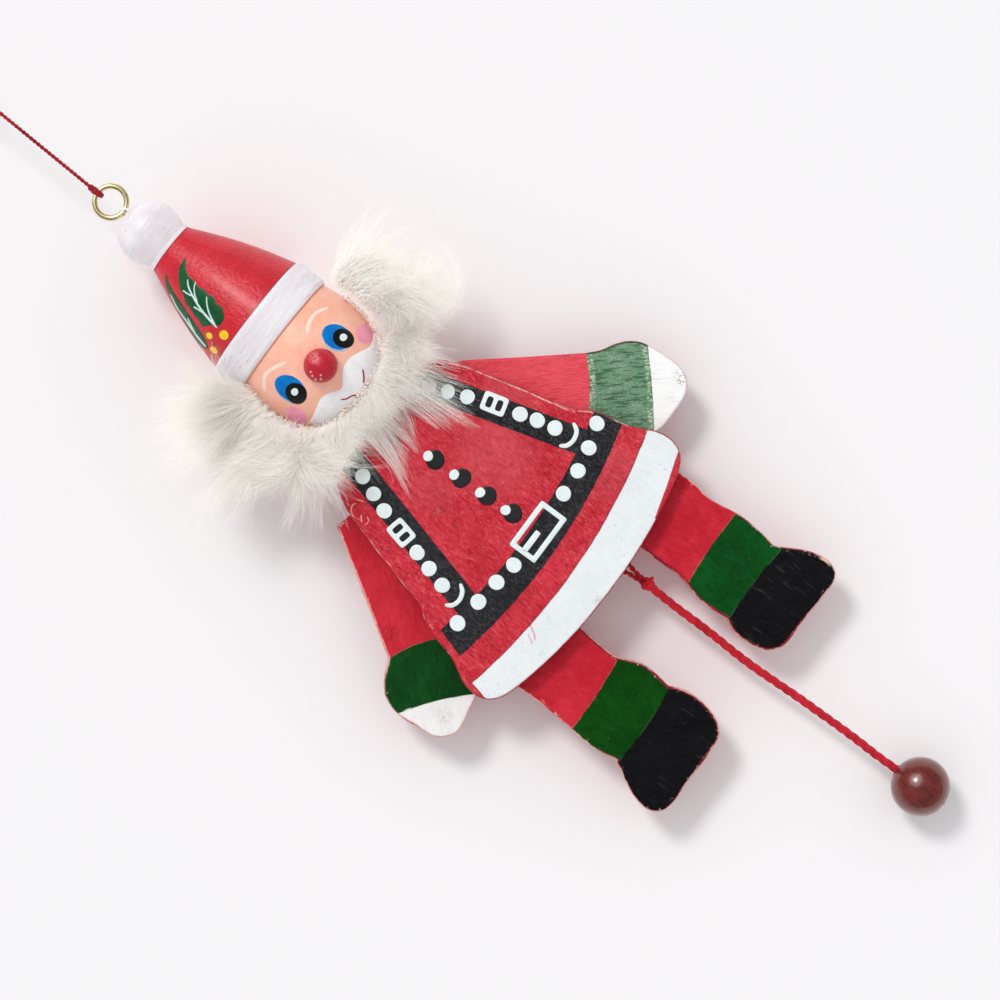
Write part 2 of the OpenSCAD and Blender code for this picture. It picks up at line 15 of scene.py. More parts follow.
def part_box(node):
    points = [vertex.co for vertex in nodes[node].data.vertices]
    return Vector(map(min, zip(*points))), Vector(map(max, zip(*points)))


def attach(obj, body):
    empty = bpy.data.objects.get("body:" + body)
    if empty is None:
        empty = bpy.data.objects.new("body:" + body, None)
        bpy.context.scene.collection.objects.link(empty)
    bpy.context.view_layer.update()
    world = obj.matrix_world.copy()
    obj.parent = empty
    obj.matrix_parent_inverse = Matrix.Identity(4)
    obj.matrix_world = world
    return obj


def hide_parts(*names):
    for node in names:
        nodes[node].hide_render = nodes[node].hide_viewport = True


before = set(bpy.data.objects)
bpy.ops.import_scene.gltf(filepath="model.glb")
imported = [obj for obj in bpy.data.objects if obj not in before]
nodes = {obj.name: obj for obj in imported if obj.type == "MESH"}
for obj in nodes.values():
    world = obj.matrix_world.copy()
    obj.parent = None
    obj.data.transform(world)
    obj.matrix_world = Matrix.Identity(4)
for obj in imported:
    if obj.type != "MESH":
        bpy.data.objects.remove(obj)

MM = 0.001
# The fur, its hide and the brim's thick paint wander the same way in each run
WANDER_SEED = 1796047692
HAIR_SEED = 41
seed_set(WANDER_SEED)
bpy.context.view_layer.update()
scene = bpy.context.scene


def rgb(*tone):
    """A colour as it is seen, 0 to 255, to the renderer's linear values."""
    shares = [c / 255 for c in tone]
    return tuple(((s + 0.055) / 1.055) ** 2.4 if s > 10 / 255 else s / 12.92 for s in shares) + (1,)


# Camera: straight at the painted front, rolled as in the photograph
DISTANCE = 850
VIEW_WIDTH = 200
AIM_X, AIM_Z = -3.3, -98
SENSOR = 36
camera = bpy.data.objects.new("camera", bpy.data.cameras.new("camera"))
scene.collection.objects.link(camera)
scene.camera = camera
lean = math.radians(35.5)
right = Vector((math.sin(lean), 0, -math.cos(lean)))
up = Vector((math.cos(lean), 0, math.sin(lean)))
front = Vector((0, -1, 0))
eye = Vector((AIM_X, -DISTANCE, AIM_Z))
camera.matrix_world = Matrix.Translation(eye * MM) @ Matrix((right, up, front)).transposed().to_4x4()
camera.data.sensor_width = SENSOR
camera.data.lens = SENSOR * DISTANCE / VIEW_WIDTH
camera.data.clip_start = 0.01


# Light: a soft main lamp from the picture's top, a weak one for the back, and an even sky
def lamp(name, direction, strength, angle):
    light = bpy.data.lights.new(name, "SUN")
    light.energy = strength
    light.angle = math.radians(angle)
    item = bpy.data.objects.new(name, light)
    scene.collection.objects.link(item)
    item.rotation_euler = Vector(direction).to_track_quat("Z", "Y").to_euler()


slope = math.radians(38)
toward_lamp = front * math.cos(slope) + Vector((0.29, 0, 0.957)) * math.sin(slope)
lamp("main_lamp", toward_lamp, 1.25, 14)
lamp("back_lamp", (0.35, 0.85, 0.45), 0.8, 30)


def put(tree, socket, value):
    """Links a shader value to a socket, or sets a plain one."""
    value = getattr(value, "socket", value)
    if isinstance(value, bpy.types.NodeSocket):
        tree.links.new(value, socket)
    else:
        socket.default_value = value


def new_node(tree, kind, inputs=(), **settings):
    """A shader node with its settings and its inputs, which are given by place or by name."""
    node = tree.nodes.new("ShaderNode" + kind)
    for key, value in settings.items():
        setattr(node, key, value)
    for key, value in inputs.items() if isinstance(inputs, dict) else enumerate(inputs):
        put(tree, node.inputs[key], value)
    return node


def choose(tree, share, a, b):
    """The surface or light at a share of the way from a to b."""
    return new_node(tree, "MixShader", (share, a, b)).outputs[0]


world = bpy.data.worlds.new("sky")
scene.world = world
world.use_nodes = True
air = world.node_tree
air.nodes.clear()


def glow(colour, strength):
    return new_node(air, "Background", {"Color": colour, "Strength": strength}).outputs[0]


# Shiny surfaces see a dim room with a soft window round the main lamp
DAYLIGHT = (0.97, 0.98, 1, 1)
ray = new_node(air, "LightPath").outputs
sight = new_node(air, "TexCoord").outputs["Generated"]
facing = new_node(air, "VectorMath", (sight, toward_lamp), operation="DOT_PRODUCT").outputs["Value"]
window = new_node(air, "MapRange", {"Value": facing, "From Min": 0.84, "From Max": 0.97},
                  interpolation_type="SMOOTHSTEP").outputs["Result"]
room = choose(air, window, glow(DAYLIGHT, 0.2), glow((1, 1, 1, 1), 2.4))
sky = choose(air, ray["Is Glossy Ray"], glow(DAYLIGHT, 0.76), room)
paper = glow(rgb(246, 244, 243), 1)
seen = choose(air, ray["Is Transmission Ray"], sky, paper)
seen = choose(air, ray["Is Camera Ray"], seen, paper)
new_node(air, "OutputWorld", {"Surface": seen})
scene.view_settings.view_transform = "Standard"


class Value:
    """A number that a material has at each point, which can be reckoned with."""

    def __init__(self, tree, socket):
        self.tree, self.socket = tree, socket

    def __add__(self, other):
        return self.tree.math("ADD", self, other)

    def __sub__(self, other):
        return self.tree.math("SUBTRACT", self, other)

    def __rsub__(self, other):
        return self.tree.math("SUBTRACT", other, self)

    def __mul__(self, other):
        return self.tree.math("MULTIPLY", self, other)

    def __neg__(self):
        return self * -1

    def __abs__(self):
        return self.tree.math("ABSOLUTE", self)

    __radd__ = __add__
    __rmul__ = __mul__


class Tree:
    """A procedural material in object coordinates, measured in millimetres."""

    def __init__(self, name, rough=0.45, **values):
        self.mat = bpy.data.materials.new(name)
        self.mat.use_nodes = True
        self.nt = self.mat.node_tree
        self.shader = self.nt.nodes["Principled BSDF"]
        for key, value in {"Roughness": rough, **values}.items():
            self.set(key.replace("_", " "), value)
        place = self.node("TexCoord").outputs["Object"]
        self.co = self.node("VectorMath", {0: place, "Scale": 1 / MM}, operation="SCALE").outputs[0]
        self.x, self.y, self.z = (Value(self, s) for s in self.node("SeparateXYZ", (self.co,)).outputs)

    def node(self, kind, inputs=(), **settings):
        return new_node(self.nt, kind, inputs, **settings)

    def set(self, key, value):
        put(self.nt, self.shader.inputs[key], value)

    def math(self, how, a, b=0.0):
        return Value(self, self.node("Math", (a, b), operation=how).outputs[0])

    def least(self, *items):
        return functools.reduce(lambda a, b: self.math("MINIMUM", a, b), items)

    def most(self, *items):
        return functools.reduce(lambda a, b: self.math("MAXIMUM", a, b), items)

    def attribute(self, name):
        return Value(self, self.node("Attribute", attribute_name=name).outputs["Fac"])

    def noise(self, size, detail=2.0, rough=0.5, stretch=(1, 1, 1), spin=0.0, shift=0.0):
        """Noise whose features are about size mm, longer along the axes that stretch names."""
        place = self.node("Mapping", {
            "Vector": self.co, "Location": (shift, shift, shift),
            "Rotation": (0, math.radians(-spin), 0), "Scale": stretch,
        }, vector_type="TEXTURE").outputs[0]
        found = self.node("TexNoise", {
            "Vector": place, "Scale": 1 / size, "Detail": detail, "Roughness": rough,
        })
        return Value(self, found.outputs["Fac"])

    def specks(self, size, fill, shift=0.0):
        """Small round specks, 1 at their centres; fill is their share of a cell."""
        place = self.node("Mapping", {"Vector": self.co, "Location": (shift, shift, shift)}).outputs[0]
        cells = self.node("TexVoronoi", {"Vector": place, "Scale": 1 / size})
        return self.ramp(cells.outputs["Distance"], fill, fill * 0.6)

    def ramp(self, value, low, high):
        """0 at low and 1 at high, with soft ends."""
        if low > high:
            return 1.0 - self.ramp(value, high, low)
        found = self.node("MapRange", {"Value": value, "From Min": low, "From Max": high},
                          interpolation_type="SMOOTHSTEP")
        return Value(self, found.outputs["Result"])

    def mix(self, share, a, b):
        """The colour at a share of the way from a to b."""
        a, b = (rgb(*c) if isinstance(c, tuple) else c for c in (a, b))
        return self.node("Mix", {"Factor": share, 6: a, 7: b}, data_type="RGBA").outputs[2]

    def bump(self, height, depth, strength=1.0):
        """Height is 0 to 1 and depth is what 1 stands out, in millimetres."""
        relief = self.node("Bump", {"Height": height, "Strength": strength, "Distance": depth * MM})
        self.set("Normal", relief.outputs[0])

    def colour(self, value):
        self.set("Base Color", value)
        return self.mat

    def tinted(self, pattern, low, high, tones):
        """The material, whose colour goes from one tone to the other with a pattern."""
        return self.colour(self.mix(self.ramp(pattern, low, high), *tones))


def strips(rows, width, start=0, closed=True, flip=False):
    """The faces between rows of points. Closed rows are rings."""
    faces = []
    for i in range(rows - 1):
        for j in range(width if closed else width - 1):
            a, b = start + i * width + j, start + i * width + (j + 1) % width
            faces.append((a, a + width, b + width, b) if flip else (a, b, b + width, a + width))
    return faces


class Shape:
    """Collects points and faces, in millimetres, into a single piece."""

    def __init__(self):
        self.verts, self.faces = [], []

    def caps(self, rows, width, start=0):
        """Flat ends on a tube of rings."""
        self.faces.append(tuple(start + k for k in range(width))[::-1])
        self.faces.append(tuple(start + (rows - 1) * width + k for k in range(width)))

    def piece(self, name, material, slot, body="root", instead=None, smooth=True, **values):
        """The piece rides on a body and may stand for a CAD node. Values are kept at its points."""
        data = bpy.data.meshes.new(name)
        data.from_pydata([tuple(c * MM for c in v) for v in self.verts], [], self.faces)
        data.validate()
        for key, numbers in values.items():
            data.attributes.new(key, "FLOAT", "POINT").data.foreach_set("value", numbers)
        if smooth:
            data.shade_smooth()
        data.materials.append(material)
        item = bpy.data.objects.new(name, data)
        scene.collection.objects.link(item)
        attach(item, body)
        if instead:
            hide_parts(instead)
        return item


def spline(points, steps, closed=False, corner=None):
    """A smooth run through points of any dimension. Bends sharper than corner degrees stay sharp."""
    p = [Vector(v) for v in points]
    n = len(p)

    def sharp(i):
        if corner is None or (not closed and i in (0, n - 1)):
            return False
        a, b = p[i % n] - p[i - 1], p[(i + 1) % n] - p[i % n]
        return a.length > 0 and b.length > 0 and math.degrees(a.angle(b)) > corner

    result = []
    for i in range(n if closed else n - 1):
        b, c = p[i], p[(i + 1) % n]
        a = p[i - 1] if closed or i > 0 else b
        d = p[(i + 2) % n] if closed or i + 2 < n else c
        if sharp(i):
            a = b
        if sharp((i + 1) % n):
            d = c
        for s in range(steps):
            t = s / steps
            result.append((
                2 * b + (c - a) * t + (2 * a - 5 * b + 4 * c - d) * t * t + (3 * b - a - 3 * c + d) * t ** 3
            ) / 2)
    if not closed:
        result.append(p[-1])
    return result


def length_of(line):
    return sum((b - a).length for a, b in zip(line, line[1:]))


def resampled(points, gap):
    """Points at an even distance along an open line."""
    lengths = [0.0]
    for a, b in zip(points, points[1:]):
        lengths.append(lengths[-1] + (b - a).length)
    count = max(2, round(lengths[-1] / gap))
    result, i = [], 0
    for k in range(count + 1):
        want = lengths[-1] * k / count
        while i < len(points) - 2 and lengths[i + 1] < want:
            i += 1
        span = lengths[i + 1] - lengths[i]
        result.append(points[i].lerp(points[i + 1], (want - lengths[i]) / span if span else 0))
    return result


def heading(line, i):
    """The direction of a line at one of its points."""
    return (line[min(i + 1, len(line) - 1)] - line[max(i - 1, 0)]).normalized()


def rotation(degrees):
    """The cosine and sine of an angle in degrees."""
    return math.cos(math.radians(degrees)), math.sin(math.radians(degrees))


class Strings(Shape):
    """Laid strings, tubes and knots of one yarn."""

    def __init__(self, stuff):
        super().__init__()
        self.stuff = stuff

    def crossings(self, line, first):
        """Two directions across a line at each of its points, carried along without a twist."""
        side = None
        for i in range(len(line)):
            t = heading(line, i)
            if side is None:
                side = t.cross(Vector(first)).normalized()
            side = (side - t * side.dot(t)).normalized()
            yield side, t.cross(side)

    def tube(self, line, radius, sides=8):
        start = len(self.verts)
        for point, (u, v) in zip(line, self.crossings(line, (0.1, 1, 0.2))):
            for k in range(sides):
                a = math.tau * k / sides
                self.verts.append(point + radius * (math.cos(a) * u + math.sin(a) * v))
        self.faces += strips(len(line), sides, start)
        self.caps(len(line), sides, start)

    def laid(self, route, d, plies, pitch, gap, sides=6, share=0.5):
        """A laid string: plies that wind round the route. Share is a ply's place as a share of
        the string's radius."""
        line = resampled(spline(route, 8), gap)
        across = list(self.crossings(line, (0, 1, 0.01)))
        for ply in range(plies):
            strand = []
            for i, (point, (u, v)) in enumerate(zip(line, across)):
                a = math.tau * (ply / plies + i * gap / pitch)
                strand.append(point + d / 2 * share * (math.cos(a) * u + math.sin(a) * v))
            self.tube(strand, d / 2 * PLY_RADIUS, sides)
        return line

    def knot(self, centre, width, tube, spin=0.0):
        """A small tied knot, as a three-lobed loop drawn tight."""
        size = (width / 2 - tube) / 3
        c, s = math.cos(spin), math.sin(spin)
        line = []
        for i in range(49):
            a = math.tau * i / 48
            x = math.sin(a) + 2 * math.sin(2 * a)
            y = math.cos(a) - 2 * math.cos(2 * a)
            z = -math.sin(3 * a) * 1.2
            line.append(Vector(centre) + size * Vector((x * c - y * s, z, x * s + y * c)))
        self.tube(line, tube)

    def stands_for(self, node, body="pull"):
        return self.piece(node + "_look", *self.stuff, body, node)


def yarn(name, dark, light, fibre):
    """Twisted yarn with fibres of one thickness."""
    t = Tree(name, rough=0.75, Sheen_Weight=0.12, Sheen_Roughness=0.5, Specular_IOR_Level=0.2)
    grain = t.noise(fibre, 3, 0.6, stretch=(1, 1, 3))
    patch = t.noise(3.0, 2)
    t.bump(grain, 0.08, 0.9)
    return t.tinted(grain + patch * 0.5, 0.45, 1.0, (dark, light))


# How far the cord hangs behind the ring's middle, a ply's radius as a share, and the strings' thickness
CORD_Y = 6.5
PLY_RADIUS = 0.56
STRING_D = 1.0
red_cord = yarn("cord_yarn", (140, 6, 26), (222, 30, 50), 0.10), "red_cord"
red_thread = yarn("thread_yarn", (120, 8, 26), (202, 30, 46), 0.07), "red_thread"

# The pull cord follows the same points as its solid
pull_route = [(x, CORD_Y, z) for x, z in (
    (0.1, -133.4), (-0.1, -136), (-0.3, -140), (-0.4, -145), (-0.6, -150), (-0.9, -155), (-1, -160),
    (-0.9, -165), (-0.8, -170), (-0.8, -175), (-0.8, -180), (-0.9, -185), (-1.1, -190), (-1.1, -195),
    (-1.1, -200), (-1.1, -203.6),
)]
cord = Strings(red_cord)
line = cord.laid(pull_route, 1.8, 3, 6.6, 0.24, 8, 0.44)
pull_look = cord.stands_for("pull_cord")
cord = Strings(red_cord)
cord.knot((-1.1, CORD_Y, -205.0), 3.0, 0.55)
cord.knot((-1.1, CORD_Y, -204.6), 2.4, 0.5, 1.0)
end_knot = cord.stands_for("bead_knot")
length_of(line) * MM
[p * MM for p in line]

# The hanging thread and the loop that ends it
THREAD = (0.8, 2, 1.9)
thread_route = [(x, 0, z) for x, z in (
    (0.1, 5.2), (0.3, 8), (0.5, 11), (0.7, 14), (0.9, 17), (1.1, 20), (1.3, 23), (1.5, 26), (1.7, 29),
    (1.8, 32), (1.9, 35), (2, 38),
)]
thread = Strings(red_thread)
line = thread.laid(thread_route, *THREAD, 0.14)
thread_look = thread.stands_for("hang_thread", "root")
thread = Strings(red_thread)
thread.laid([(x, 0, z) for x, z in (
    (2, 38.9), (3.6, 40.5), (5.2, 43), (5.4, 46.5), (5, 49.6), (3.6, 51.9), (2, 52.6), (0.4, 51.9),
    (-1, 49.6), (-1.4, 46.5), (-1.2, 43), (0.4, 40.5), (2, 38.9),
)], *THREAD, 0.16)
thread.knot((2, 0, 38.9), 1.9, 0.34)
loop_look = thread.stands_for("hang_loop", "root")
length_of(line) * MM
[p * MM for p in line]

# The thread's turns round the ring, drawn together into a knot
thread = Strings(red_thread)
for shift in (-0.42, 0.42):
    turn = []
    for i in range(25):
        c, s = rotation(15 * i)
        turn.append(Vector((shift * (0.7 + 0.3 * c), 1.02 * s, 3.2 + 1.05 * c)))
    thread.tube(turn, 0.36)
thread.knot((0.05, 0, 4.75), 1.5, 0.3)
thread.stands_for("hang_knot", "root")


def box_of(node):
    """The low and high corners of a CAD node's box, in millimetres."""
    return [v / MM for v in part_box(node)]


def string_piece(node, routes, knots=()):
    """The strings behind the figure, laid as their solids are."""
    string = Strings(red_cord)
    for route in routes:
        string.laid(route, STRING_D, 2, 2.6, 0.22)
    for values in knots:
        string.knot(*values)
    string.stands_for(node)


meets = {}
for name, meet_x in (("arm", -3.5), ("leg", -1.5)):
    low, high = box_of(name + "_string")
    if name == "arm":
        string_y = (low.y + high.y) / 2
    meet = meets[name] = Vector((meet_x, string_y, low.z + 1.2))
    tips = [Vector((x, string_y, high.z - 0.35)) for x in (low.x + 0.3, high.x - 0.3)]
    routes = [[tip, tip.lerp(meet, 0.5), meet] for tip in tips]
    string_piece(name + "_string", routes, [(meet, 2.6, 0.5, 0.4)])
string_piece("arm_pull_string", [[
    meets["arm"] + Vector((0, 0, -1)), meets["arm"] + Vector((0, 1.2, -7)),
    (-3.5, string_y + 1.3, -119.4), (-3.5, string_y + 1.3, -124.2), (-0.7, 6.6, -126.6),
    (-0.25, CORD_Y, -128.6), (-0.2, CORD_Y, -131),
]])
string_piece("leg_pull_string", [[
    meets["leg"] + Vector((0, 0, -1)), (0.9, CORD_Y + 0.4, -125), (1.2, CORD_Y, -126.6),
    (0.75, CORD_Y, -128.6), (0.5, CORD_Y, -131),
]])
cord = Strings(red_cord)
cord.knot((0.15, CORD_Y, -132.0), 2.9, 0.6, 0.3)
cord.knot((0.2, 6.3, -132.5), 2.5, 0.56, 1.3)
cord.tube([Vector(p) for p in ((1.0, 6.2, -132.2), (1.5, 6.2, -132.0), (1.9, 6.3, -132.3))], 0.36)
cord.tube([Vector((0.15, CORD_Y, -132.4)), Vector((0.1, CORD_Y, -134.2))], 0.72, 10)
cord.stands_for("pull_knot")
for limb in ("left_arm", "right_arm", "left_leg", "right_leg"):
    low, high = box_of(limb + "_knot")
    x, z = (low.x + high.x) / 2, (low.z + high.z) / 2
    cord = Strings(red_cord)
    cord.knot((x, high.y - 0.85, z), 2.0, 0.42, 0.8)
    cord.knot((x, low.y + 0.8, z), 1.6, 0.34, 0.2)
    cord.tube([Vector((x, low.y + 0.6, z)), Vector((x, high.y - 1, z))], 0.5)
    cord.stands_for(limb + "_knot", limb)


# Boards: the solids' outlines with sanded edges, and the distance from the edge kept for the paint
def front_outline(node):
    bm = bmesh.new()
    bm.from_mesh(nodes[node].data)
    bmesh.ops.remove_doubles(bm, verts=bm.verts, dist=2e-6)
    foremost = min(v.co.y for v in bm.verts)
    flat = {f for f in bm.faces if all(abs(v.co.y - foremost) < 3e-6 for v in f.verts)}
    beside = {}
    for edge in bm.edges:
        if sum(f in flat for f in edge.link_faces) == 1:
            a, b = edge.verts
            beside.setdefault(a, []).append(b)
            beside.setdefault(b, []).append(a)
    loops = []
    while beside:
        first = next(iter(beside))
        loop, last = [first], None
        here = first
        while True:
            ways = [v for v in beside[here] if v is not last]
            last, here = here, ways[0]
            if here is first or here in loop:
                break
            loop.append(here)
        for v in loop:
            beside.pop(v, None)
        loops.append([Vector((v.co.x, v.co.z)) / MM for v in loop])
    bm.free()
    longest = max(loops, key=lambda p: max(v.y for v in p) - min(v.y for v in p))
    area = sum(a.x * b.y - b.x * a.y for a, b in zip(longest, longest[1:] + longest[:1]))
    return longest if area > 0 else longest[::-1]


def inset(loop, d):
    """The outline moved inward by d."""
    result = []
    for i, p in enumerate(loop):
        a = (p - loop[i - 1]).normalized()
        b = (loop[(i + 1) % len(loop)] - p).normalized()
        inward = Vector((-a.y - b.y, a.x + b.x))
        if inward.length < 0.2:
            inward = Vector((-a.y, a.x))
        inward.normalize()
        grow = 1 / max(0.6, inward.dot(Vector((-a.y, a.x))))
        result.append(p + inward * d * grow)
    return result


def distance(p, loop):
    best = 1e9
    for a, b in zip(loop, loop[1:] + loop[:1]):
        ab = b - a
        t = max(0, min(1, (p - a).dot(ab) / max(ab.length_squared, 1e-9)))
        best = min(best, (p - a - ab * t).length)
    return best


# The rounding of the sanded edges, and how far from the edge its distance is kept
ROUND_FRONT = 0.6
ROUND_BACK = 0.35
EDGE_REACH = 3.0


def board(node, material, body, slot):
    loop = []
    for p in spline(front_outline(node), 3, closed=True, corner=38):
        if not loop or (p - loop[-1]).length > 0.12:
            loop.append(p)
    low, high = box_of(node)
    n = len(loop)
    rings = []
    for i in range(5):
        c, s = rotation(90 - 22.5 * i)
        rings.append((ROUND_FRONT * (1 - c), low.y + ROUND_FRONT * (1 - s)))
    rings.append((0.0, (low.y + high.y) / 2))
    for i in range(4):
        c, s = rotation(30 * i)
        rings.append((ROUND_BACK * (1 - c), high.y - ROUND_BACK * (1 - s)))
    shape, edge = Shape(), []
    for d, y in rings:
        shape.verts += [Vector((p.x, y, p.y)) for p in inset(loop, d)]
        edge += [d] * n
    shape.faces = strips(len(rings), n)
    side_faces = len(shape.faces)
    # The flat front, with rows of points that hold the distance from the edge
    points = inset(loop, ROUND_FRONT)
    for d in (0.85, 1.2, 1.8, EDGE_REACH):
        points += [p for p in inset(loop, d)[::2] if distance(p, loop) > d * 0.97]
    found = delaunay_2d_cdt(points, [], [list(range(n))], 1, 1e-5)
    start = len(shape.verts)
    shape.verts += [Vector((p.x, low.y, p.y)) for p in found[0]]
    edge += [min(EDGE_REACH, distance(Vector(p), loop)) for p in found[0]]
    shape.faces += [tuple(start + i for i in face) for face in found[2]]
    shape.faces.append(tuple(range((len(rings) - 1) * n, len(rings) * n)))
    data = shape.piece(node + "_board", material, slot, body, node, smooth=False, edge=edge).data
    data.polygons.foreach_set("use_smooth", [i < side_faces for i in range(len(data.polygons))])
    bm = bmesh.new()
    bm.from_mesh(data)
    bmesh.ops.remove_doubles(bm, verts=bm.verts, dist=1e-7)
    bmesh.ops.recalc_face_normals(bm, faces=bm.faces)
    bm.to_mesh(data)
    bm.free()


def painted(node, red, zones, spin, wear, grain, shine, crests=0.0, rim_share=0.6, gloss=0.4):
    """Brushed satin paint on a board. zones(t) gives each painted part as a share, two colours
    and a roughness; spin is the wood grain's turn from upright. Crests is how strongly the raised
    lines of the red get a painted highlight and the hollows a painted shade."""
    t = Tree(node + "_paint", Specular_IOR_Level=shine)
    front_y = box_of(node)[0].y
    edge = t.attribute("edge")
    ridges = t.noise(0.48, 3, 0.6, stretch=(1, 1, 4), spin=spin)
    brush = t.noise(1.3, 2, 0.5, stretch=(1, 1, 2), spin=spin, shift=3)
    blotch = t.noise(7, 3, 0.6)
    fine = t.noise(0.25, 2, 0.6)
    shade = t.ramp(ridges * 0.35 + brush * 0.25 + blotch * 0.5, 0.4, 0.72)
    colour = t.mix(shade, *red)
    if crests:
        leather = t.noise(0.55, 2, 0.6, stretch=(1, 1, 3.4), spin=spin, shift=7)
        patches = t.ramp(t.noise(6, 2, shift=9), 0.3, 0.6)
        top = t.ramp(leather, 0.56, 0.70) * (0.35 + patches * 0.65)
        # Painted shade in the hollows of the leathery relief, and a painted highlight on its crests
        colour = t.mix(t.ramp(leather, 0.44, 0.32) * (0.5 * crests), colour, (150, 6, 28))
        colour = t.mix(top * (0.45 * crests), colour, (240, 112, 118))
        ridges = ridges * 0.5 + leather * 1.6
    rough = gloss
    others, calm = 0.0, 0.0
    for share, tones, dullness in zones(t):
        colour = t.mix(share, colour, t.mix(shade, *tones))
        rough = share * (dullness - rough) + rough
        others = t.most(others, share)
        calm = t.most(calm, share) if dullness >= 0.5 else calm
    # The sanded edge keeps a thin red, darkened as painted shade on the rounding, with pale lines and chips
    # where it is rubbed bare
    wobble = (t.noise(0.9, 3) - 0.5) * 0.35
    rim = t.ramp(edge + wobble, 0.34, 0.16)
    edge_red_shade = t.mix(t.noise(0.6, 3), (128, 18, 30), (184, 40, 52))
    colour = t.mix(rim * (0.25 + others * rim_share), colour, edge_red_shade)
    stretches = t.ramp(t.noise(9, 2, shift=11), 0.56 - 0.12 * wear, 0.66 - 0.12 * wear)
    pale_line = t.ramp(edge + wobble * 1.6, 0.34, 0.12) * stretches
    chips = t.ramp(t.noise(0.7, 3, 0.6, shift=5), 0.60, 0.66) * t.ramp(edge, 0.95, 0.35)
    chips *= t.ramp(t.noise(5, 2, shift=2), 0.58 - 0.1 * wear, 0.66 - 0.1 * wear)
    bare = t.most(pale_line * 0.8, chips) * t.ramp(t.y, front_y + 0.8, front_y + 0.5)
    colour = t.mix(bare, colour, t.mix(fine, (232, 150, 146), (248, 220, 208)))
    # The back and the sides have one thin coat, with the wood's grain in it
    behind = t.ramp(t.y, front_y + 0.9, front_y + 1.6)
    ply = t.mix(t.noise(1.4, 3, 0.6, stretch=(1, 0.25, 4), spin=spin), (148, 24, 38), (186, 44, 54))
    t.set("Roughness", rough + bare * 0.25)
    relief = ridges * 0.6 + brush * 0.5 + (fine * 0.2 + bare * -0.3)
    t.bump(relief * (1.0 - calm * 0.72), grain)
    return t.colour(t.mix(behind, colour, ply))


def arc(t, middle, height, bend, tilt):
    """The height of a curved line across the figure, in millimetres, at each x."""
    off = t.x - middle
    return height + (off * off * bend + off * tilt)


def waver(t, size=2.5, amount=0.2):
    """How far a painted edge strays from its line, in millimetres."""
    return (t.noise(size, 2) - 0.5) * (amount * 2) + (t.noise(0.4, 2) - 0.5) * 0.14


def past(t, value, soft=0.06):
    """1 where a distance in millimetres is positive, with a soft edge."""
    return t.ramp(value, -soft, soft)


def line_between(t, a, b, bow, w):
    """Distance to the left of a line from a to b that bows by bow at its middle."""
    dx, dz = b[0] - a[0], b[1] - a[1]
    size = math.hypot(dx, dz)
    across = (t.z - a[1]) * (dx / size) - (t.x - a[0]) * (dz / size)
    along = (t.x - a[0]) * (dx / size ** 2) + (t.z - a[1]) * (dz / size ** 2)
    return across - along * (1.0 - along) * (4 * bow) + w


def near(t, x, z, reach):
    """A soft round patch, 1 at its middle."""
    dx, dz = t.x - x, t.z - z
    return t.ramp(t.math("SQRT", dx * dx + dz * dz), reach, reach * 0.3)


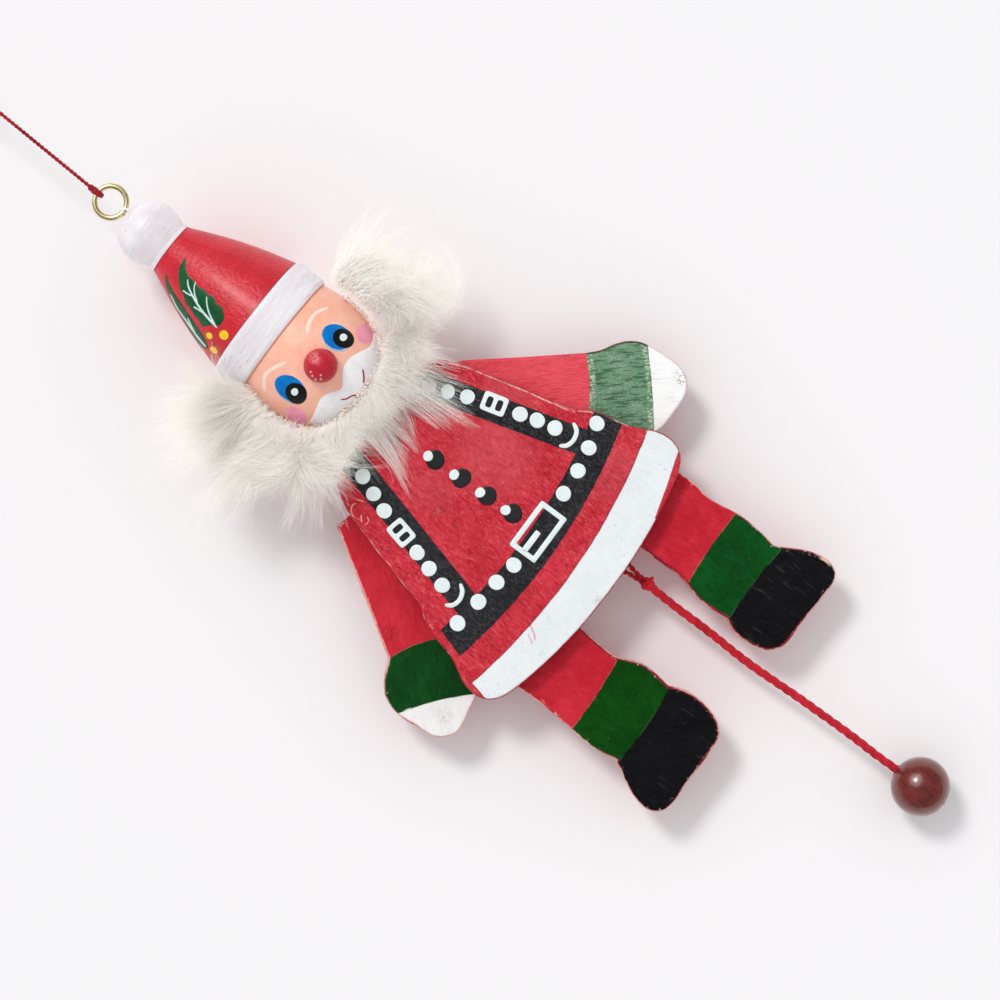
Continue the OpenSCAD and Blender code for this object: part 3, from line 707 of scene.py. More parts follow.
def coat_zones(t):
    w = waver(t)
    edge = t.attribute("edge") + w * 0.5
    # The hem's white stops short of the rounding, and further short at its two upper corners
    above = arc(t, -5, -118.1, 0.0041, 0.0165) - t.z
    low_left = line_between(t, (-36.2, -114.5), (-37.4, -119.5), 0.0, w)
    low_right = line_between(t, (11.7, -125.35), (25.8, -121.25), 0.0, w)
    hem = past(t, t.least(above + w, edge - 0.2, low_left, t.most(low_right, 11.7 - t.x)))
    top = arc(t, -4, -106.35, 0.00438, 0.0132) - t.z
    low = t.z - arc(t, -4, -112.75, 0.00434, 0.0189)
    left_end = t.x + (t.z + 106.5) * -0.32 + 32.3
    right_end = 22.85 - (t.x - (t.z + 106) * -0.15)
    belt = t.least(top + w, low - w, left_end, right_end)
    left = abs(t.x + (14.5 + (t.z + 71) * -0.285))
    right_strap = abs(t.x - (7.75 + (t.z + 75) * -0.266))
    straps = t.most(2.72 - left, 2.77 - right_strap)
    straps = t.least(straps + w * 0.5, t.z - arc(t, -4, -106.9, 0.00438, 0.0132))
    # Small grey and purple specks in the white, and two short red scratches on it
    dirt = t.specks(1.1, 0.16) * t.ramp(t.noise(5, 2, shift=8), 0.45, 0.6)
    long_scratch = 0.16 - abs(line_between(t, (-20.2, -117.4), (-21.6, -119.6), 0.2, w))
    short_scratch = 0.12 - abs(line_between(t, (-21.9, -118.2), (-23.0, -119.9), 0.1, w))
    scratches = t.most(
        t.least(long_scratch, 1.4 - abs(t.z + 118.5)), t.least(short_scratch, 0.9 - abs(t.z + 119)),
    )
    # The coat's right edge has a raised pale line, and soft patches of paler red are a painted highlight for
    # glare on the coat
    ridge = t.ramp(abs(edge - 0.42), 0.2, 0.08) * (t.ramp(t.x, 12.0, 13.5) * t.ramp(t.z, -104.0, -102.5))
    ridge *= t.ramp(t.noise(0.8, 3, 0.6, stretch=(1, 1, 3), spin=-15), 0.40, 0.52)
    painted_glare = t.most(near(t, 3.5, -92.0, 12.0), near(t, -9.5, -86.0, 7.0) * 0.8, near(t, 14.5, -88, 9.0),
                  near(t, 14.0, -112.5, 8.0))
    smudge = near(t, -8.2, -125.7, 1.5) * t.ramp(t.noise(0.5, 3, 0.6), 0.45, 0.6)
    return [
        # Painted highlight: paler red where glare falls on the coat
        (painted_glare * 0.5, ((206, 62, 74), (222, 84, 92)), 0.42),
        (ridge * 0.85, ((236, 150, 148), (252, 212, 206)), 0.4),
        (hem, ((228, 232, 234), (236, 240, 241)), 0.5),
        (hem * dirt * 0.55, ((140, 118, 136), (170, 150, 165)), 0.5),
        (hem * past(t, scratches, 0.08) * 0.7, ((206, 110, 122), (222, 140, 148)), 0.5),
        (hem * smudge * 0.6, ((140, 140, 146), (176, 174, 178)), 0.5),
        (past(t, t.most(belt, straps)), BLACK, 0.3),
        worn(t, -11.9, -89.4, 1.5, ((232, 110, 116), (246, 160, 156))),
    ]


def worn(t, x, z, reach, tones):
    """Small worn specks round a place."""
    specks = t.ramp(t.noise(0.4, 3, 0.6, shift=6), 0.52, 0.6) * near(t, x, z, reach)
    return specks * 0.7, tones, 0.5


def limb_zones(first, second, end_tones, dullness, green, marks, seam_tint=0.35):
    """A limb's green part past the first line, and its end past the second."""

    def zones(t):
        w = waver(t, 3, 0.15)
        to_first, to_second = line_between(t, *first, w), line_between(t, *second, w)
        past_first = past(t, -to_first)
        specks = t.specks(1.6, 0.09, 3) * t.ramp(t.noise(6, 2, shift=4), 0.45, 0.6)
        seam = t.ramp(abs(to_second), 0.16, 0.06) * t.ramp(t.noise(3, 2), 0.45, 0.6)
        first_seam = t.ramp(abs(to_first), 0.15, 0.05) * t.ramp(t.noise(2, 2, shift=5), 0.42, 0.55)
        return [
            (past_first, green, 0.26),
            (first_seam * 0.5, ((186, 84, 72), (214, 120, 104)), 0.4),
            (past_first * specks * 0.5, ((84, 120, 60), (150, 160, 110)), 0.4),
            (past(t, -to_second), end_tones, dullness),
            (seam * seam_tint, ((130, 150, 110), (190, 200, 160)), 0.4),
        ] + marks(t)

    return zones


def right_arm_marks(t):
    """Fine dry brush lines along the green with painted glare on their pale streaks, painted glints at the
    cuff's edges and on the red, and a worn hand.
    """
    to_hand = line_between(t, *right_arm_lines[1], 0.0)
    cuff = t.least(0.0 - line_between(t, *right_arm_lines[0], 0.0), to_hand)
    dry = t.noise(0.22, 3, 0.65, stretch=(1, 1, 3), spin=39, shift=2)
    furrows = t.noise(0.36, 2, 0.5, stretch=(1, 1, 9), spin=39, shift=4)
    # A band for painted glints along the cuff's borders
    rim = t.ramp(abs(cuff - 0.6), 0.9, 0.2)
    rim *= t.ramp(t.noise(0.4, 2, 0.5, stretch=(1, 1, 2), spin=39), 0.48, 0.58)
    on_cuff = past(t, cuff)
    outer = t.ramp(t.attribute("edge"), 0.5, 0.35)
    scratches = t.ramp(t.noise(0.5, 2, 0.5, stretch=(1, 1, 12), spin=39, shift=8), 0.62, 0.68)
    return [
        # Pale dry brush streaks, made paler as painted glare
        (on_cuff * t.ramp(dry, 0.48, 0.62) * 0.7, ((158, 190, 162), (186, 208, 188)), 0.5),
        (on_cuff * t.ramp(furrows, 0.46, 0.38) * 0.75, ((26, 76, 40), (44, 98, 58)), 0.5),
        # Painted glints along the cuff's edges
        (on_cuff * rim * 0.75, ((204, 222, 190), (232, 240, 216)), 0.35),
        (on_cuff * outer * 0.9, ((16, 52, 28), (34, 78, 44)), 0.4),
        (scratches * past(t, -to_hand) * 0.45, ((196, 198, 206), (216, 216, 222)), 0.5),
        worn(t, 38.0, -113.4, 2.6, ((158, 84, 104), (204, 150, 160))),
        # Painted glints: pale specks on the red upper arm
        worn(t, 28.5, -91.5, 2.2, ((232, 120, 128), (246, 170, 170))),
    ]


def left_arm_marks(t):
    """A painted glint at the hand's seam, a painted highlight along the lit upper edge, and worn places."""
    # A painted glint at the hand's seam
    glint = near(t, -48.0, -107.0, 1.1)
    glint *= t.ramp(abs(line_between(t, *left_arm_lines[1], 0.1)), 0.4, 0.15)
    # Painted highlight: a pale salmon band along the lit upper edge
    side = t.ramp(abs(line_between(t, (-26.6, -75), (-42.3, -98), 0, 0)), 1.6, 0.9)
    side *= t.ramp(t.attribute("edge") + waver(t, 1.5, 0.1), 0.6, 0.4)
    return [
        (glint, ((216, 230, 208), (238, 246, 234)), 0.3),
        (side * 0.75, ((236, 140, 132), (250, 190, 178)), 0.45),
        worn(t, -45, -114, 2.4, ((206, 176, 176), (224, 200, 198))),
        worn(t, -37.6, -95.4, 2.2, ((150, 16, 32), (170, 26, 40))),
    ]


def leg_marks(middle, side, chip=None):
    """A darker red on a leg's inner edge, the board's red side with painted shade on it, and a chip down to
    the wood.
    """

    def marks(t):
        edge = t.attribute("edge") + waver(t, 1.5, 0.1)
        # Painted shade: the inner edge darkened as the board's shaded side
        shaded_inner_side = t.ramp(edge, 0.62, 0.46) * past(t, (t.x - middle) * side, 2.0)
        streaks = t.ramp(t.noise(0.5, 2, 0.5, stretch=(1, 1, 9)), 0.62, 0.7) * t.ramp(t.z, -148.5, -150.0)
        parts = [
            (streaks * 0.5, ((40, 40, 46), (62, 62, 68)), 0.4),
            (shaded_inner_side * 0.85, ((116, 18, 38), (160, 42, 58)), 0.5),
        ]
        if chip:
            bare = near(t, *chip, 1.9) * t.ramp(edge, 0.8, 0.55)
            parts.append((bare, ((206, 176, 142), (232, 206, 172)), 0.6))
        return parts

    return marks


RED = ((198, 18, 42), (218, 44, 62))
LIMB_RED = ((188, 22, 42), (208, 42, 58))
# Painted highlight: the right arm's red, paled for the glare on it
GLARE_RED = ((220, 60, 74), (236, 82, 94))
GREEN = ((1, 56, 10), (7, 74, 22))
# Painted highlight: the right cuff's green, paled for the glare on it
GLARE_GREEN = ((98, 146, 108), (128, 170, 134))
BLACK = ((20, 20, 24), (34, 34, 39))
BOOT = ((4, 4, 6), (12, 12, 16))
MITTEN = ((230, 226, 225), (243, 240, 239))
# Painted highlight: the right hand's white, brightened for the glare on it
GLARE_MITTEN = ((244, 244, 242), (252, 252, 250))

# Each limb's two painted lines: the ends of each and its bow
left_arm_lines = ((-42.4, -98.2), (-33.5, -103.6), 0.5), ((-50.3, -106.1), (-38, -116.4), 0.6)
right_arm_lines = ((22.5, -101.5), (30.9, -94.7), -0.4), ((26.3, -114.8), (39.4, -103.8), -0.3)
left_leg_lines = ((-33.5, -136.3), (-14, -135.4), -0.6), ((-33.5, -147.6), (-13, -147.2), -0.8)
right_leg_lines = ((4, -138.5), (23, -138.2), 0.5), ((3, -149.2), (23, -149.8), 0.4)
# Each limb's red, its grain's turn and depth, its shine and wear, and its painted parts
limbs = {
    "left_arm": (LIMB_RED, -35, 0.22, 0.18, 1.4, limb_zones(
        *left_arm_lines, MITTEN, 0.5, GREEN, left_arm_marks)),
    "right_arm": (GLARE_RED, 39, 0.4, 0.24, 0.2, limb_zones(
        *right_arm_lines, GLARE_MITTEN, 0.5, GLARE_GREEN, right_arm_marks)),
    "left_leg": (LIMB_RED, 0, 0.3, 0.14, 1.4, limb_zones(
        *left_leg_lines, BOOT, 0.4, ((1, 58, 2), (8, 76, 10)), leg_marks(-24, 1), 0.08)),
    "right_leg": (LIMB_RED, 0, 0.34, 0.14, 1.4, limb_zones(
        *right_leg_lines, BOOT, 0.4, ((0, 62, 12), (4, 82, 26)), leg_marks(13, -1, (25.0, -158.2)), 0.08)),
}
coat_paint = painted(
    "coat", RED, coat_zones, spin=-9, wear=0.0, grain=0.7, shine=0.45, crests=0.9, gloss=0.25,
)
board("coat", coat_paint, "root", "red_coat")
for limb, (red, spin, grain, shine, wear, zones) in limbs.items():
    look = painted(limb, red, zones, spin, wear, grain, shine, rim_share=min(0.6, 0.05 + wear / 2))
    board(limb, look, limb, "red_limb")

# Painted details lie on the surface that carries them, a few hundredths of a millimetre thick
head_tree = BVHTree.FromPolygons(
    [tuple(v.co / MM) for v in nodes["head"].data.vertices],
    [tuple(p.vertices) for p in nodes["head"].data.polygons],
)
coat_front = box_of("coat")[0].y


def on_head(x, z):
    """The head's surface where the camera sees it in front of a place at the figure's middle."""
    hit = head_tree.ray_cast(eye, Vector((x, 0, z)) - eye)
    if hit[0] is None:
        hit = head_tree.find_nearest(Vector((x, -4, z)))
    place, normal = hit[0], hit[1]
    return place, (normal if normal.y < 0 else -normal)


def on_coat(x, z):
    return eye.lerp(Vector((x, 0, z)), 1 + coat_front / -eye.y), front


SUNK = 0.02


class Paint(Shape):
    """Dabs of one paint on one surface, whose rims are sunk into it."""

    def __init__(self, surface, thick, lift=0.0):
        super().__init__()
        self.surface, self.thick, self.lift = surface, thick, lift

    def grid(self, rows, closed=False, thin_ends=True):
        """Rows of points across the surface; the outermost lie on it and the rest stand proud."""
        start, width = len(self.verts), len(rows[0])
        for i, row in enumerate(rows):
            for j, (x, z) in enumerate(row):
                place, normal = self.surface(x, z)
                rim = i == 0 or (thin_ends and i == len(rows) - 1) or (not closed and j in (0, width - 1))
                self.verts.append(place + normal * (self.lift - SUNK if rim else self.lift + self.thick))
        self.faces += strips(len(rows), width, start, closed)

    def spot(self, x, z, w, h, tilt=0.0, wobble=0.03, seed=0, power=2.0):
        """A round or squarish dab of width w and height h."""
        c, s = rotation(tilt)
        rows = []
        for share in (1, 0.93, 0.8, 0.55, 0.28, 0.02):
            row = []
            for k in range(36):
                a = math.tau * k / 36
                r = share * (1 + wobble * math.sin(2 * a + seed) + wobble * 0.6 * math.sin(3 * a + 2 * seed))
                ca, sa = math.cos(a), math.sin(a)
                px = w / 2 * r * math.copysign(abs(ca) ** (2 / power), ca)
                pz = h / 2 * r * math.copysign(abs(sa) ** (2 / power), sa)
                row.append((x + px * c - pz * s, z + px * s + pz * c))
            rows.append(row)
        self.grid(rows, closed=True, thin_ends=False)

    def frame(self, x, z, w, h, bar, tilt=0.0):
        """A rectangular frame with rounded corners and bars of one width."""
        c, s = rotation(tilt)
        rows = []
        for share in (0, 0.12, 0.5, 0.88, 1):
            hw, hh = w / 2 - bar * share, h / 2 - bar * share
            r = 0.45 - 0.25 * share
            row = []
            for cx, cz, first in ((1, 1, 0), (-1, 1, 90), (-1, -1, 180), (1, -1, 270)):
                for step in range(0, 91, 18):
                    ca, sa = rotation(first + step)
                    px = cx * (hw - r) + r * ca
                    pz = cz * (hh - r) + r * sa
                    row.append((x + px * c - pz * s, z + px * s + pz * c))
            rows.append(row)
        self.grid(rows, closed=True)

    def stroke(self, points, width, end_width=None, taper=0.3):
        """A brush stroke through points, from one width to another. Taper narrows its ends."""
        line = spline([Vector(p) for p in points], 6)
        end_width = width if end_width is None else end_width
        rows = []
        for i, p in enumerate(line):
            t = heading(line, i)
            side = Vector((-t.y, t.x))
            share = i / (len(line) - 1)
            w = width + (end_width - width) * share
            w *= taper + (1 - taper) * math.sqrt(min(1, min(share, 1 - share) / 0.18))
            rows.append([tuple(p + side * w * k) for k in (-0.5, -0.4, 0, 0.4, 0.5)])
        self.grid(rows)

    def between(self, top, bottom, columns=40):
        """The region between two lines that share their ends' x."""
        upper = resampled(spline([Vector(p) for p in top], 6), 0.01)
        lower = spline([Vector(p) for p in bottom], 6)
        pairs = zip(*(resampled(line, length_of(line) / columns) for line in (upper, lower)))
        self.grid([[tuple(p.lerp(q, k)) for k in (0, 0.06, 0.25, 0.5, 0.75, 0.94, 1)] for p, q in pairs])

    def leaf(self, ribs):
        """A leaf from rows of (x, z, half width to the left, half width to the right) along its rib."""
        rows = []
        line = spline([Vector(r) for r in ribs], 5)
        for i, p in enumerate(line):
            a, b = line[max(i - 1, 0)], line[min(i + 1, len(line) - 1)]
            t = Vector((b[0] - a[0], b[1] - a[1])).normalized()
            side = Vector((-t.y, t.x))
            here = Vector((p[0], p[1]))
            rows.append([
                tuple(here + side * k * max(0.05, p[2] if k < 0 else p[3]))
                for k in (-1, -0.85, -0.4, 0, 0.4, 0.85, 1)
            ])
        self.grid(rows)


def enamel(name, tones, rough=0.4, depth=0.02, size=0.5, shine=0.3):
    t = Tree(name, rough=rough, Specular_IOR_Level=shine)
    brush = t.noise(size, 3, 0.6)
    blotch = t.noise(3.0, 2)
    t.bump(brush, depth)
    return t.tinted(brush * 0.5 + blotch * 0.5, 0.35, 0.65, tones)


white_enamel = enamel("white_enamel", ((222, 233, 233), (236, 244, 244)), 0.42)
black_enamel = enamel("black_enamel", BLACK, 0.42)

# Dots, buckles and arcs on the belt and the braces: each dot's place and width
BUCKLES = (-20.1, -85.7, -14), (11.7, -85.9, 14)
DOTS = (
    (-28.3, -105.4, 3.2), (-22.4, -106.3, 3.2), (-17.1, -107.0, 3.15), (-12.3, -107.8, 3.1),
    (5.1, -107.6, 3.1), (10.5, -107.3, 3.1), (15.5, -106.4, 3.1), (20.4, -104.9, 3.1),
    (-15.4, -72.9, 3.1), (-17.0, -76.7, 3.0), (-18.5, -80.4, 3.1), (-21.5, -90.6, 3.1),
    (-22.7, -94.4, 3.1), (-23.9, -98.5, 3.1), (7.0, -73.2, 2.9), (8.3, -76.9, 2.9), (9.7, -80.7, 3.0),
    (13.0, -91.3, 3.1), (14.0, -94.8, 3.1), (14.8, -98.6, 3.1),
)
white = Paint(on_coat, 0.07)
for i, (x, z, d) in enumerate(DOTS):
    white.spot(x, z, d, d * 1.02, seed=i * 1.7, wobble=0.02)
for x, z, tilt in BUCKLES:
    white.spot(x, z, 4.0, 5.2, tilt, 0, power=8)
white.frame(-4.05, -107.9, 11.1, 6.4, 1.1, tilt=-1.0)
white.stroke([(-9.0, -107.8), (-6.5, -107.9), (-3.9, -107.95)], 1.3, taper=0.75)
white.stroke([(-26.8, -101.2), (-25.9, -102.5), (-24.3, -103.0), (-22.6, -102.5), (-21.5, -101.2)], 0.95)
white.stroke([(12.4, -101.3), (13.4, -102.6), (15.2, -103.0), (16.9, -102.4), (17.8, -100.9)], 0.95)
white.piece("coat_white_dots", white_enamel, "white_paint")


def detail(surface, slot, name, material, thick, lift, spots=(), strokes=(), taper=0.5):
    """A piece of paint from spots and strokes."""
    paint = Paint(surface, thick, lift)
    for values in spots:
        paint.spot(*values)
    for points, *widths in strokes:
        paint.stroke(points, *widths, taper)
    paint.piece(name, material, slot)


coat_detail = functools.partial(detail, on_coat, "red_coat")
head_detail = functools.partial(detail, on_head, "head_paint")
slots = []
for x, z, tilt in BUCKLES:
    c, s = rotation(tilt)
    slots += [(x - off * s, z + off * c, 2.3, 1.3, tilt, 0, 0, 4) for off in (-1.05, 1.05)]
coat_detail("buckle_slots", black_enamel, 0.02, 0.075, slots + [(-19.85, -90.95, 0.8, 0.6, 30)])
# Raised brush marks in the red, with a painted highlight as their pale colour
ridge_glint_red = enamel("ridge_glint_red", ((224, 84, 88), (246, 168, 158)), 0.35, 0.05, 0.3)
coat_detail("coat_paint_ridges", ridge_glint_red, 0.12, 0, strokes=[(points, 0.26, 0.26) for points in (
    [(-23.1, -76.2), (-22.4, -75.1), (-21.3, -74.6), (-20.6, -74.9)],
    [(-19.9, -74.7), (-19.5, -75.5), (-19.4, -76.4)],
    [(-23.2, -78.8), (-22.5, -79.1), (-21.8, -78.9), (-21.5, -78.3)],
    [(-23.0, -78.2), (-22.5, -77.6), (-21.8, -77.1)],
    [(-26.4, -86.4), (-26.7, -88.0)],
    [(-31.7, -101.0), (-32.1, -102.2)],
)], taper=0.4)
BUTTONS = (-4.3, -82.8), (-4.2, -89.2), (-4.1, -95.4), (-4.0, -101.7)
BUTTON_GLINTS = (-4.5, -81.2), (-4.5, -87.6), (-4.4, -93.9), (-4.3, -100.1)
buttons = [(x, z, 4.0, 3.9, 0, 0.03, i * 2.1) for i, (x, z) in enumerate(BUTTONS)]
coat_detail("coat_buttons", black_enamel, 0.10, 0, buttons)
glints = [(x, z, 2.1, 2.0, 0, 0.03, i * 1.3) for i, (x, z) in enumerate(BUTTON_GLINTS)]
detail(on_coat, "white_paint", "button_dots", white_enamel, 0.05, 0.10, glints)


# The face: each spot's place, width, height, tilt, wobble and seed, and each stroke's places and widths
head_detail("eye_rims", enamel("eye_rim", ((150, 176, 206), (186, 200, 220)), 0.3, shine=0.14), 0.03, 0, [
    (-9.6, -51.1, 5.1, 7.2, 2, 0.02, 1), (4.2, -52.7, 5.3, 6.6, 8, 0.02, 2)])
head_detail("eye_blue", enamel("eye_blue", ((0, 106, 188), (4, 130, 208)), 0.3, shine=0.14), 0.05, 0.01, [
    (-9.5, -50.9, 4.7, 7.0, 2, 0.02, 1), (4.3, -52.5, 4.9, 6.4, 8, 0.02, 2)])
head_detail("eye_pupils", enamel("eye_black", ((14, 14, 16), (26, 26, 28)), 0.28), 0.04, 0.06, [
    (-9.6, -52.4, 4.0, 4.7, 0, 0.02, 1), (4.8, -53.7, 3.8, 4.5, 0, 0.02, 3)])
head_detail("eye_dots", white_enamel, 0.04, 0.11, [
    (-9.5, -52.0, 1.45, 1.5, 0, 0.03, 1), (4.95, -53.6, 1.5, 1.5, 0, 0.03, 2)])
head_detail("brows", enamel("brow_white", ((250, 212, 194), (254, 226, 212))), 0.04, 0, strokes=[
    ([(-13.0, -47.2), (-11.6, -45.9), (-9.9, -45.3), (-8.0, -45.9), (-5.7, -47.2)], 0.7, 0.9),
    ([(1.5, -47.4), (3.0, -46.5), (5.0, -46.2), (6.6, -46.7), (8.1, -47.8)], 0.95, 0.65)], taper=0.3)
head_detail("cheeks", enamel("cheek_pink", ((246, 142, 172), (253, 168, 192))), 0.02, 0, [
    (-13.2, -55.0, 3.2, 5.0, 6, 0.03, 1), (8.2, -56.8, 3.8, 4.5, -25, 0.03, 2)])
lip = Paint(on_head, 0.12)
lip.between(
    [(-13.3, -57.9), (-11.5, -57.8), (-9.5, -57.3), (-7.5, -57.0), (-5.6, -57.8), (-3.7, -59.2),
     (-1.9, -58.3), (-0.2, -57.2), (2.0, -56.9), (4.5, -57.9), (6.8, -59.0), (8.8, -58.2), (9.6, -57.4)],
    [(-12.6, -58.6), (-11.6, -60.3), (-10.2, -61.6), (-8.6, -62.6), (-6.6, -63.3), (-4.5, -63.8),
     (-2.4, -63.8), (-0.4, -63.8), (1.6, -63.5), (3.6, -63.0), (5.6, -62.0), (7.4, -60.6), (9.1, -58.6)],
)
lip.piece("moustache", enamel("lip_white", ((242, 238, 240), (254, 252, 252))), "head_paint")
head_detail("mouth", enamel("mouth_red", ((150, 24, 48), (186, 40, 66))), 0.03, 0.13, strokes=[
    ([(-5.4, -60.4), (-4.6, -61.2), (-3.4, -61.8), (-2.9, -62.6)], 0.32, 0.3),
    ([(-0.1, -62.1), (0.9, -61.5), (2.0, -60.4)], 0.3, 0.34)])

# Holly on the hat: two leaves with scalloped edges, pale veins and yellow berries
holly = Paint(on_head, 0.05)
holly.leaf([
    (-0.4, -18.7, 0.1, 0.1), (-2.2, -19.6, 1.0, 0.4), (-3.4, -20.9, 1.6, 0.6), (-4.2, -22.2, 2.1, 1.3),
    (-4.9, -23.6, 2.2, 1.5), (-5.4, -24.9, 2.7, 2.2), (-5.9, -26.1, 2.5, 2.3), (-6.1, -27.3, 2.9, 2.7),
    (-6.5, -28.6, 2.7, 2.3), (-6.7, -29.8, 3.1, 2.7), (-7.0, -31.0, 2.1, 1.9), (-7.6, -32.0, 0.4, 0.4),
])
holly.leaf([
    (-5.2, -17.4, 0.1, 0.1), (-6.8, -18.8, 0.5, 0.4), (-8.1, -21.2, 0.7, 0.6), (-9.3, -24.2, 0.9, 0.7),
    (-10.6, -27.2, 0.9, 0.9), (-11.6, -29.8, 1.0, 0.9), (-12.3, -31.9, 0.8, 0.6), (-12.7, -32.8, 0.2, 0.2),
])
holly.piece("holly_leaves", enamel("leaf_green", ((8, 66, 32), (24, 92, 48)), 0.38), "head_paint")
vein_pale = enamel("vein_pale", ((184, 218, 210), (216, 236, 230)), 0.42)
head_detail("holly_veins", vein_pale, 0.03, 0.055, strokes=[
    ([(-8.1, -31.9), (-7.6, -29.5), (-7.0, -27.2), (-6.0, -24.8), (-4.8, -22.6), (-3.6, -21.5)], 0.5, 0.3),
    ([(-8.0, -31.6), (-6.8, -29.2), (-5.5, -27.6), (-4.2, -26.6)], 0.35, 0.25),
    ([(-7.3, -29.0), (-7.3, -27.2), (-7.4, -25.7)], 0.3, 0.35),
    ([(-6.3, -25.9), (-5.4, -24.6), (-4.3, -23.6), (-3.1, -23.1)], 0.3, 0.25),
    ([(-5.8, -24.4), (-6.0, -23.0), (-6.0, -22.0)], 0.3, 0.3),
    ([(-12.5, -32.4), (-11.7, -29.4), (-10.6, -26.3), (-9.4, -23.0), (-8.0, -20.4)], 0.35, 0.2),
    ([(-11.5, -29.0), (-10.7, -27.4), (-9.9, -26.0)], 0.25, 0.2)])
BERRIES = (-10.3, -31.6, 1.15, 1.5), (-12.1, -34.0, 1.0, 1.8), (-8.5, -33.9, 1.8, 2.0)
head_detail("berry_rims", enamel("berry_rim", ((150, 60, 20), (176, 84, 24))), 0.03, 0,
              [(x, z, w + 0.35, h + 0.35, -8) for x, z, w, h in BERRIES])
head_detail("holly_berries", enamel("berry_yellow", ((240, 186, 20), (252, 216, 40)), 0.35), 0.07, 0.03,
              [(*berry, -8) for berry in BERRIES])

# The turned head: red hat, white brim and flesh face, by the height along its own axis
HAT_EDGE = -36.85
BRIM_EDGE = -43.9
HEAD_TILT = rotation(2.4)
t = Tree("head_enamel", Specular_IOR_Level=0.42, Coat_Weight=0.14, Coat_Roughness=0.2)
height = t.z * HEAD_TILT[0] + t.x * HEAD_TILT[1] + waver(t, 4, 0.1) * 0.6
rings_bump = t.noise(0.9, 3, 0.6, stretch=(9, 9, 1))
peel = t.noise(0.7, 2, 0.5)
blotch = t.noise(5, 3, 0.6)
hat = t.mix(t.ramp(peel * 0.3 + blotch * 0.7, 0.35, 0.65), (192, 8, 32), (210, 22, 44))
brim = t.mix(t.ramp(rings_bump, 0.3, 0.7), (228, 221, 226), (239, 235, 239))
scuffs = t.ramp(t.noise(0.5, 4, 0.7, stretch=(8, 8, 1), shift=3), 0.54, 0.62)
scuffs *= t.most(near(t, -10.5, -39.0, 4.0), near(t, 9.0, -43.0, 4.0) * 0.5)
brim = t.mix(scuffs * 0.6, brim, (150, 140, 150))
skin = t.mix(t.ramp(blotch, 0.35, 0.65), (250, 180, 152), (254, 192, 168))
is_hat = t.ramp(height, HAT_EDGE - 0.1, HAT_EDGE)
colour = t.mix(t.ramp(height, BRIM_EDGE + 0.15, BRIM_EDGE), t.mix(is_hat, brim, hat), skin)
colour = t.mix(t.ramp(abs(height - (BRIM_EDGE - 0.05)), 0.22, 0.08) * 0.5, colour, (214, 120, 96))
colour = t.mix(t.ramp(abs(height - HAT_EDGE), 0.2, 0.06) * 0.5, colour, (150, 30, 44))
t.set("Roughness", 0.34 + t.noise(1.5, 2) * 0.16)
t.bump(peel * (is_hat * 0.7 + 0.3) * 1.1 + rings_bump * 0.2, 0.2)
head_paint = t.colour(colour)

# The brim's thick white paint nearly fills the two turned lines under it
brim_radius = max(abs(v.co.y) for v in nodes["head"].data.vertices) / MM
band = Shape()
BAND_TOP, BAND_HEIGHT = 37.4, 5.9
ROWS, AROUND = 30, 180
for i in range(ROWS):
    down = BAND_TOP + BAND_HEIGHT * i / (ROWS - 1)
    for k in range(AROUND):
        a = math.tau * k / AROUND
        streak = noise_vector(Vector((math.cos(a) * 0.9, math.sin(a) * 0.9, down * 1.3))).x
        r = brim_radius + (0.05 + 0.03 * streak if 0 < i < ROWS - 1 else -0.03)
        u = r * math.cos(a)
        c, s = HEAD_TILT
        band.verts.append(Vector((u * c - down * s, r * math.sin(a), -u * s - down * c)))
band.faces = strips(ROWS, AROUND, flip=True)
band.piece("brim_paint", head_paint, "head_paint")


def dress(node, material):
    nodes[node].data.materials.clear()
    nodes[node].data.materials.append(material)


dress("head", head_paint)
t = Tree("ball_enamel", rough=0.38, Coat_Weight=0.2)
turned = t.noise(1.0, 3, 0.6, stretch=(9, 9, 1))
marks = t.ramp(t.noise(0.6, 3, 0.6, shift=4), 0.62, 0.70) * 0.6
t.bump(turned + t.noise(1.2, 2) * 0.6, 0.05)
cloudy = t.ramp(turned * 0.4 + t.noise(4, 3) * 0.6, 0.35, 0.65)
dress("hat_ball", t.colour(t.mix(marks, t.mix(cloudy, (228, 220, 224), (240, 236, 239)), (182, 158, 160))))
t = Tree("nose_enamel", rough=0.34, Specular_IOR_Level=0.4)
t.bump(t.noise(0.8, 2), 0.16)
pale = t.most(*(near(t, x, z, 0.27) for x, z in (
    (-4.85, -53.9), (-5.1, -54.8), (-4.4, -55.6), (-3.8, -55.2), (-4.4, -53.2))))
